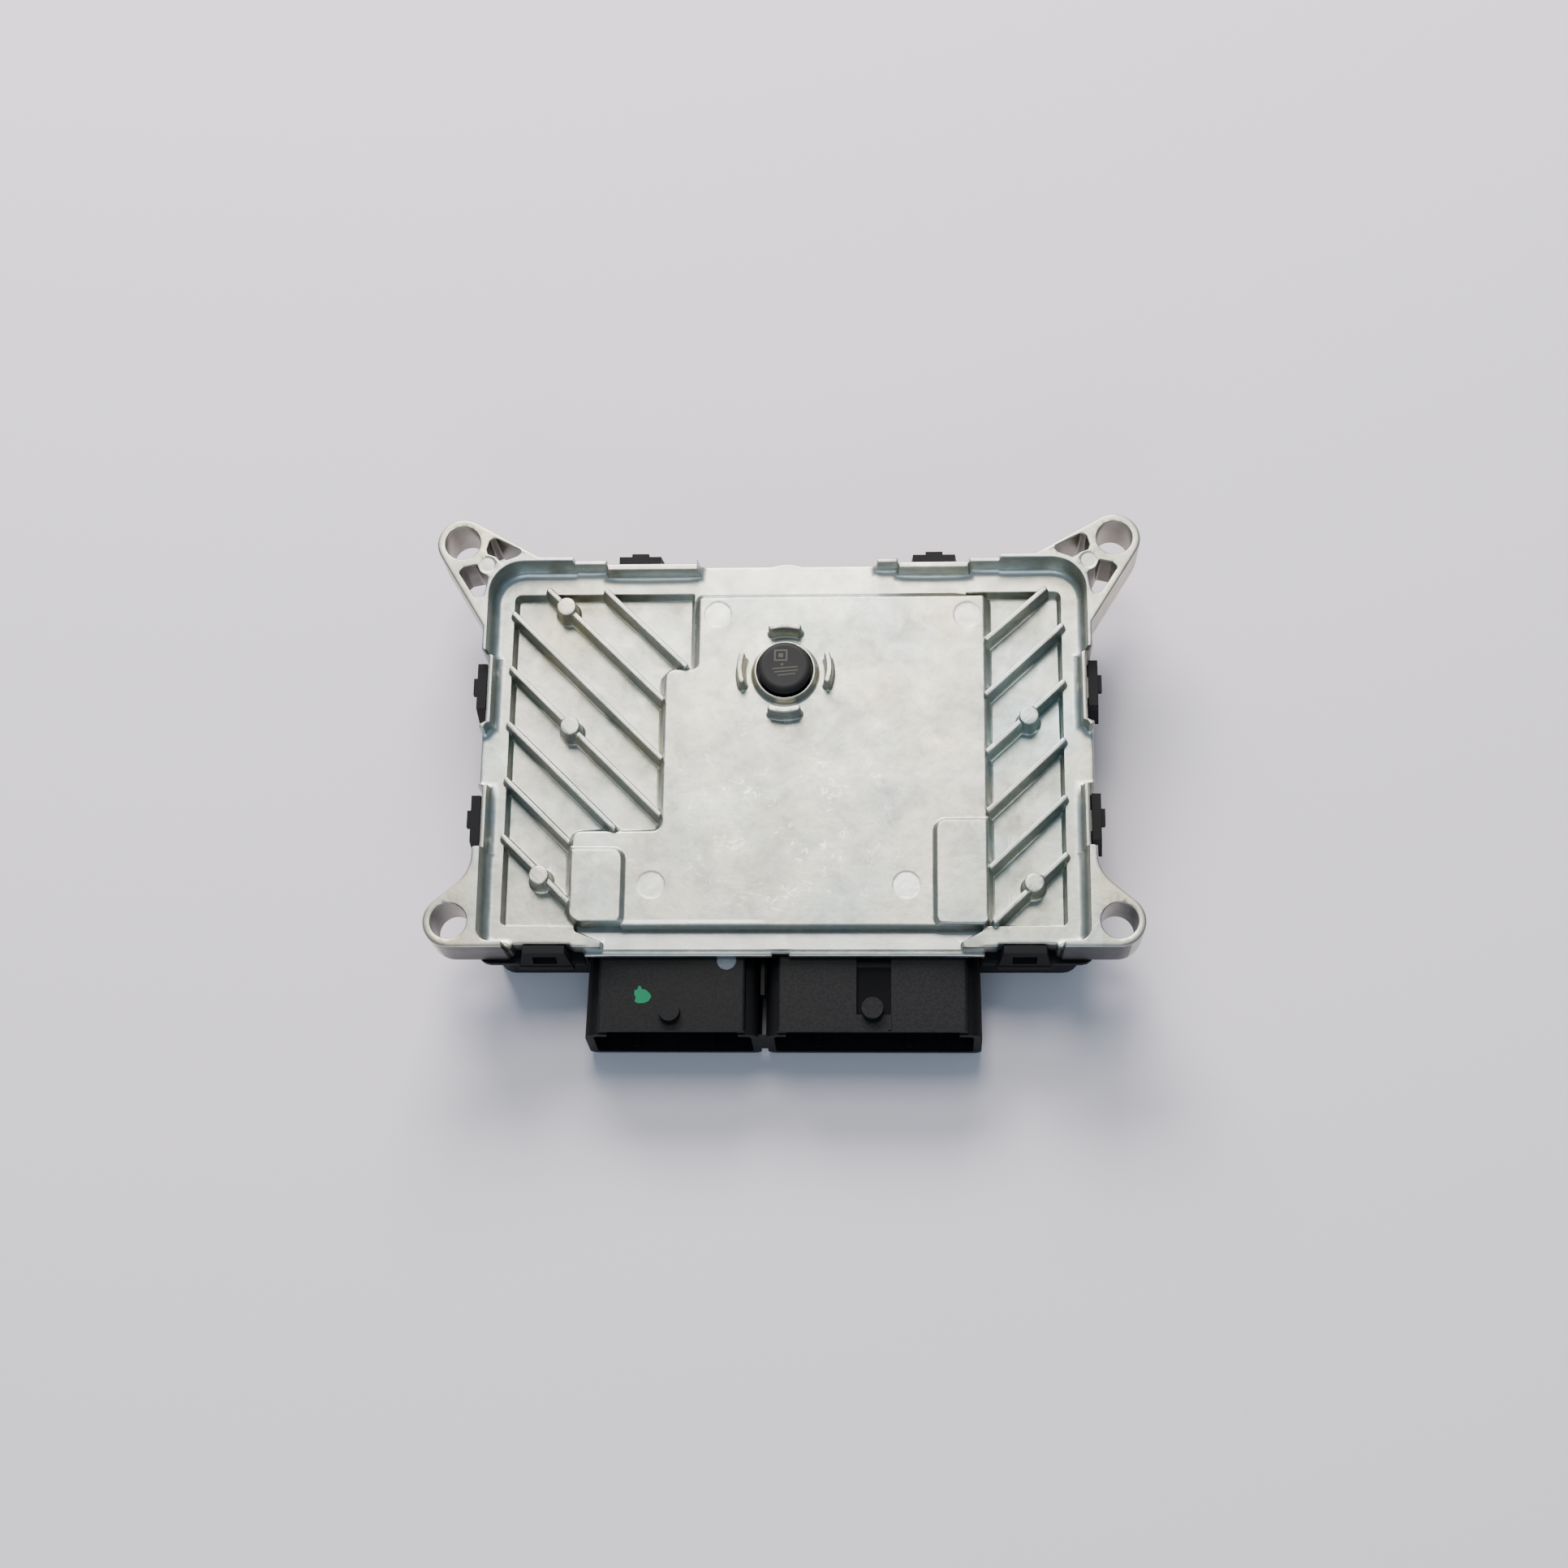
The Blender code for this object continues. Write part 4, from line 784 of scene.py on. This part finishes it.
        # painted highlight inside the round ejector marks, weaker in the two rear ones
        mark_highlight = None
        for x, y, rr in MARKS:
            d = near(nt, P, (x, y, MIDDLE_Z - 0.1), rr - 0.8, rr + 0.2)
            if y > 0:
                d = maths(nt, "MULTIPLY", d, 0.4)
            mark_highlight = d if mark_highlight is None else maths(nt, "ADD", mark_highlight, d, True)
        mark_highlight = maths(nt, "MULTIPLY", mark_highlight, blotch.outputs["Color"])
        col = mixc(nt, mark_highlight, col, (0.74, 0.75, 0.72))
    nt.links.new(col, b.inputs["Base Color"])
    nt.links.new(r.outputs["Color"], b.inputs["Roughness"])
    b0 = node(nt, "ShaderNodeBump", Strength=0.6)
    b0.inputs["Distance"].default_value = wave
    nt.links.new(cloud.outputs["Fac"], b0.inputs["Height"])
    b1 = node(nt, "ShaderNodeBump", Strength=0.45)
    b1.inputs["Distance"].default_value = 0.00006
    nt.links.new(mid.outputs["Fac"], b1.inputs["Height"])
    nt.links.new(b0.outputs["Normal"], b1.inputs["Normal"])
    b2 = node(nt, "ShaderNodeBump", Strength=0.35)
    b2.inputs["Distance"].default_value = 0.000012
    nt.links.new(fine.outputs["Fac"], b2.inputs["Height"])
    nt.links.new(b1.outputs["Normal"], b2.inputs["Normal"])
    nt.links.new(b2.outputs["Normal"], b.inputs["Normal"])
    return m


def shade_header(nt, P, col):
    """Painted shade in the guide slot and on the rails beside the top plates, and a painted shadow of the casting next
    to it.
    """
    sep = node(nt, "ShaderNodeSeparateXYZ")
    nt.links.new(P, sep.inputs[0])
    X, Y, Z = sep.outputs
    # painted shade in the guide slot
    slot = maths(nt, "MULTIPLY", band(nt, X, 0.01805, 0.02655, 0.00005),
                 band(nt, Y, (-70.0 + OY) * MM, (-53.0 + OY) * MM, 0.0002))
    slot = maths(nt, "MULTIPLY", slot, band(nt, Z, (-2.0 + OZ) * MM, (0.1 + OZ) * MM, 0.0002))
    col = mixc(nt, maths(nt, "MULTIPLY", slot, 0.85), col, (0.0010, 0.0010, 0.0011))
    # painted shade on the rails and the mouth, everything below the top plates
    low = band(nt, Z, (-30.0 + OZ) * MM, (-1.6 + OZ) * MM, 0.0006)
    col = mixc(nt, maths(nt, "MULTIPLY", low, 0.75), col, (0.0015, 0.0015, 0.0016))
    # painted shadow of the casting on the plates' rear band
    back = band(nt, Y, (-56.5 + OY) * MM, (-50.0 + OY) * MM, 0.0025)
    col = mixc(nt, maths(nt, "MULTIPLY", back, 0.5), col, (0.0015, 0.0015, 0.0016))
    speck = ramp(nt, noise(nt, 1500.0, 2.0, 0.6, P).outputs["Fac"], [(0.38, grey(0.55)), (0.62, grey(1.0))])
    col = mixc(nt, 1.0, col, speck.outputs["Color"], "MULTIPLY")
    left = band(nt, X, -0.06, -0.0055, 0.001)
    return mixc(nt, maths(nt, "MULTIPLY", left, 0.28), col, (0.003, 0.0034, 0.003))


def moulded(name, base, rough, scale=900.0, depth=0.00004, shade=None):
    m, nt, b = nodes_of(name, base, rough, 0.0)
    b.inputs["Specular IOR Level"].default_value = 0.16
    tc = node(nt, "ShaderNodeTexCoord")
    P = tc.outputs["Object"]
    grain = noise(nt, scale, 3.0, 0.6, P)
    cloud = noise(nt, 35.0, 4.0, 0.55, P)
    c = ramp(nt, cloud.outputs["Fac"], [(0.3, tuple(x * 0.82 for x in base)), (0.75, tuple(x * 1.25 for x in base))])
    nt.links.new(shade(nt, P, c.outputs["Color"]) if shade else c.outputs["Color"], b.inputs["Base Color"])
    r = ramp(nt, cloud.outputs["Fac"], [(0.3, grey(rough - 0.08)), (0.7, grey(rough + 0.08))])
    nt.links.new(r.outputs["Color"], b.inputs["Roughness"])
    bump = node(nt, "ShaderNodeBump", Strength=0.5)
    bump.inputs["Distance"].default_value = depth
    nt.links.new(grain.outputs["Fac"], bump.inputs["Height"])
    nt.links.new(bump.outputs["Normal"], b.inputs["Normal"])
    return m


CAST = cast_metal("cast_aluminium", (0.518, 0.500, 0.432), (0.468, 0.478, 0.440), casting=True)
COVER = moulded("cover_plastic", (0.007, 0.007, 0.0075), 0.6)
HEADER = moulded("header_plastic", (0.0135, 0.0132, 0.0141), 0.56, shade=shade_header)
VENTP = moulded("vent_plastic", (0.026, 0.0245, 0.0235), 0.55)
PINM = cast_metal("tinned_contact", (0.72, 0.70, 0.64), (0.62, 0.60, 0.56))
SEAL = moulded("silicone_seal", (0.10, 0.10, 0.12), 0.6)
BOARD = moulded("board_laminate", (0.015, 0.12, 0.05), 0.35, 500.0)
CHIP = moulded("chip_epoxy", (0.018, 0.018, 0.020), 0.6)
CANM = cast_metal("can_aluminium", (0.66, 0.67, 0.69), (0.60, 0.61, 0.63))
GAPF = moulded("gap_filler", (0.34, 0.38, 0.42), 0.8)
STEEL = cast_metal("zinc_steel", (0.62, 0.62, 0.60), (0.55, 0.55, 0.54))
SKIN = moulded("vent_membrane", (0.75, 0.75, 0.73), 0.7)
FERR = moulded("ferrite", (0.07, 0.065, 0.06), 0.55)
GREEN = moulded("green_paint", (0.006, 0.175, 0.078), 0.5, 1400.0)
FOIL = moulded("pale_disc", (0.165, 0.185, 0.21), 0.45, 700.0)
# near-black, dull copy of the header plastic: painted shade for the guide slot
SLOT_SHADE = moulded("slot_shade_plastic", (0.0060, 0.0060, 0.0064), 0.75)
SLOT_SHADE.node_tree.nodes["Principled BSDF"].inputs["Specular IOR Level"].default_value = 0.06
MARK = moulded("pale_mark", (0.095, 0.09, 0.075), 0.6)


def softened(name, source, material, width, angle=32, segments=2):
    """A copy of a CAD node with rounded edges."""
    src = nodes[source]
    me = src.data.copy()
    ob = bpy.data.objects.new(name, me)
    scene.collection.objects.link(ob)
    me.materials.clear()
    me.materials.append(material)
    bm = bmesh.new()
    bm.from_mesh(me)
    bmesh.ops.remove_doubles(bm, verts=bm.verts, dist=2e-6)
    bmesh.ops.dissolve_limit(bm, angle_limit=math.radians(1.0), verts=bm.verts, edges=bm.edges)
    for f in bm.faces:
        f.smooth = True
    bm.to_mesh(me)
    bm.free()
    if me.has_custom_normals:
        with bpy.context.temp_override(object=ob, active_object=ob):
            bpy.ops.mesh.customdata_custom_splitnormals_clear()
    bev = ob.modifiers.new("edges", "BEVEL")
    bev.width = width * MM
    bev.segments = segments
    bev.limit_method = "ANGLE"
    bev.angle_limit = math.radians(angle)
    bev.harden_normals = False
    weighted(ob)
    return ob


# =============================================================== pieces
housing = build_housing(CAST)
weighted(housing, 50)
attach(housing, "root")
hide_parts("housing")

cover = softened("bottom_cover_moulding", "bottom_cover", COVER, 0.25)
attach(cover, "root")
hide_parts("bottom_cover")

header = softened("header_moulding", "connector_header", HEADER, 0.25)
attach(header, "root")
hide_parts("connector_header")



def turned(name, profile, x, y, n, material, angle=40):
    """A closed (r, z) profile turned about an upright axis; radii at 0 close on the axis."""
    verts, faces = [], []
    rows = []
    for r, z in profile:
        if r < 1e-6:
            verts.append((x, y, z))
            rows.append([len(verts) - 1] * n)
        else:
            rows.append(list(range(len(verts), len(verts) + n)))
            verts += [(x + r * math.cos(math.tau * i / n), y + r * math.sin(math.tau * i / n), z) for i in range(n)]
    m = len(profile)
    for k in range(m):
        a, b = rows[k], rows[(k + 1) % m]
        for i in range(n):
            j = (i + 1) % n
            f = []
            for q in (a[i], b[i], b[j], a[j]):
                if q not in f:
                    f.append(q)
            if len(f) > 2:
                faces.append(tuple(f))
    ob = to_object(name, verts, faces, material)
    bm = bmesh.new()
    bm.from_mesh(ob.data)
    bmesh.ops.recalc_face_normals(bm, faces=bm.faces)
    bm.to_mesh(ob.data)
    bm.free()
    return weighted(ob, angle)


shoulder = [(6.7 - 1.3 * (1 - math.cos(math.radians(a))), 12.35 + 1.15 * math.sin(math.radians(a)))
            for a in range(0, 91, 10)]
cap = turned("vent_plug", [(2.2, 3.3), (3.2, 3.3), (4.7, 4.3), (4.7, 5.0), (3.95, 5.0), (3.95, 10.6), (6.45, 10.6),
                           (6.62, 10.66), (6.7, 10.85)] + shoulder + [(5.3, 13.52), (5.15, 13.47), (0.0, 13.47),
                           (0.0, 12.6), (3.2, 12.6), (3.2, 11.2), (2.2, 11.2)], *VENT, 72, VENTP)
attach(cap, "root")
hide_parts("vent_cap")


def patch(name, loops, z0, z1, material):
    """Flat islands of paint, z0 to z1."""
    verts, faces = [], []
    for loop in loops:
        loop = ccw(clean(loop))
        k, n = len(verts), len(loop)
        verts += [(x, y, z0) for x, y in loop] + [(x, y, z1) for x, y in loop]
        faces += [tuple(range(k + n - 1, k - 1, -1)), tuple(range(k + n, k + 2 * n))]
        faces += [(k + i, k + (i + 1) % n, k + n + (i + 1) % n, k + n + i) for i in range(n)]
    return to_object(name, verts, faces, material, smooth=False)


dab = [(-35.75, -62.2), (-35.3, -63.1), (-34.3, -63.3), (-33.2, -64.3), (-32.9, -65.1), (-33.6, -66.2),
       (-34.7, -66.65), (-36.2, -66.7), (-37.05, -66.3), (-36.8, -65.2), (-37.2, -64.3), (-37.1, -63.4),
       (-36.4, -63.2), (-36.2, -62.4)]
dot = patch("green_paint_dot", [soften(dab, 0.25, 3)], 0.47, 0.56, GREEN)
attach(dot, "root")
# dark sheet in the guide slot: painted shade
slot_shade_sheet = patch("guide_slot_shade_sheet", [[(18.02, -69.48), (26.58, -69.48), (26.58, -57.3), (18.02, -57.3)]],
                   -0.8, -0.70, SLOT_SHADE)
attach(slot_shade_sheet, "root")
pale = turned("header_pale_disc", [(0.0, 0.45), (2.4, 0.45), (2.4, 0.60), (2.25, 0.68), (0.0, 0.72)],
              -14.35, -55.8, 40, FOIL)
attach(pale, "root")
cx, cy = VENT
frames = []
for x0, y0, x1, y1 in ((-2.6, 1.3, 0.8, 1.75), (-2.6, 3.95, 0.8, 4.4), (-2.6, 1.75, -2.15, 3.95), (0.35, 1.75, 0.8, 3.95),
                       (-1.5, 2.3, -0.3, 3.4), (-0.9, 0.1, -0.2, 0.7)):
    frames.append([(cx + x0, cy + y0), (cx + x1, cy + y0), (cx + x1, cy + y1), (cx + x0, cy + y1)])
for dx, dy, w in ((-3.0, -0.9, 6.4), (-2.4, -1.8, 5.9), (-1.6, -2.7, 4.4)):
    frames.append([(cx + dx, cy + dy), (cx + dx + w, cy + dy + 0.5), (cx + dx + w, cy + dy + 0.85), (cx + dx, cy + dy + 0.35)])
marks = patch("plain_cap_marks", frames, 13.45, 13.49, MARK)
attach(marks, "root")

kept = {"pin_block_left": PINM, "pin_block_right": PINM, "circuit_board": BOARD, "housing_seal": SEAL,
        "header_seal": SEAL, "vent_o_ring": SEAL, "vent_membrane": SKIN, "quartz_crystal": CANM,
        "choke_coil": FERR}
for n, ob in nodes.items():
    if n in ("housing", "bottom_cover", "connector_header", "vent_cap"):
        continue
    mat = kept.get(n)
    if mat is None:
        mat = STEEL if n.startswith("board_screw") else CANM if n.startswith("capacitor") else \
            GAPF if n.startswith("thermal_pad") else CHIP
    ob.data.materials.clear()
    ob.data.materials.append(mat)

# =============================================================== stage
floor_mat, fnt, fb = nodes_of("stage_paper", (0.87, 0.80, 0.845), 0.9)
floor_mesh = bpy.data.meshes.new("stage_floor")
bm = bmesh.new()
bmesh.ops.create_grid(bm, x_segments=1, y_segments=1, size=2.5)
bm.to_mesh(floor_mesh)
bm.free()
floor = bpy.data.objects.new("stage_floor", floor_mesh)
floor.location = (0, 0, -0.0002)
floor_mesh.materials.append(floor_mat)
scene.collection.objects.link(floor)


def lamp(name, loc, target, size, power, colour, size_y=None):
    li = bpy.data.lights.new(name, "AREA")
    li.shape = "RECTANGLE" if size_y else "SQUARE"
    li.size = size
    if size_y:
        li.size_y = size_y
    li.energy = power
    li.color = colour
    ob = bpy.data.objects.new(name, li)
    ob.location = loc
    ob.rotation_euler = (Vector(target) - Vector(loc)).to_track_quat("-Z", "Y").to_euler()
    scene.collection.objects.link(ob)
    return ob


lamp("soft_top", (-0.05, 0.62, 1.35), (0, 0, 0), 0.5, 10.5, (1.0, 0.965, 0.89))
lamp("soft_back", (-0.19, 1.12, 0.82), (0, 0.04, 0), 0.95, 33.0, (0.99, 0.945, 0.965), 0.50)
lamp("soft_front", (-0.10, -1.15, 0.70), (0, 0, 0), 0.8, 3.6, (0.68, 0.84, 1.0), 0.5)
world = bpy.data.worlds.new("room")
world.use_nodes = True
world.node_tree.nodes["Background"].inputs["Color"].default_value = (0.62, 0.81, 1.0, 1)
world.node_tree.nodes["Background"].inputs["Strength"].default_value = 0.36
scene.world = world

# camera fitted to the photograph
f_px, t, ry, rz = 3068.86, math.radians(17.390), math.radians(2.948), math.radians(-0.206)


def turn_x(a):
    return np.array([[1, 0, 0], [0, math.cos(a), -math.sin(a)], [0, math.sin(a), math.cos(a)]])


def turn_y(a):
    return np.array([[math.cos(a), 0, math.sin(a)], [0, 1, 0], [-math.sin(a), 0, math.cos(a)]])


def turn_z(a):
    return np.array([[math.cos(a), -math.sin(a), 0], [math.sin(a), math.cos(a), 0], [0, 0, 1]])


R = turn_z(rz) @ turn_y(ry) @ np.array([[1, 0, 0], [0, -math.cos(t), -math.sin(t)],
                                        [0, math.sin(t), -math.cos(t)]])
cam_data = bpy.data.cameras.new("photo_camera")
cam_data.sensor_fit = "HORIZONTAL"
cam_data.sensor_width = 36.0
cam_data.lens = 36.0 * f_px / 1932.0
cam_data.clip_start = 0.01
cam_data.clip_end = 20.0
cam = bpy.data.objects.new("photo_camera", cam_data)
M = Matrix.Identity(4)
for i in range(3):
    M[i][0], M[i][1], M[i][2] = R[0][i], -R[1][i], -R[2][i]
M.translation = Vector((32.0, -198.83 + OY, 604.0 + OZ)) * MM
cam.matrix_world = M
scene.collection.objects.link(cam)
scene.camera = cam
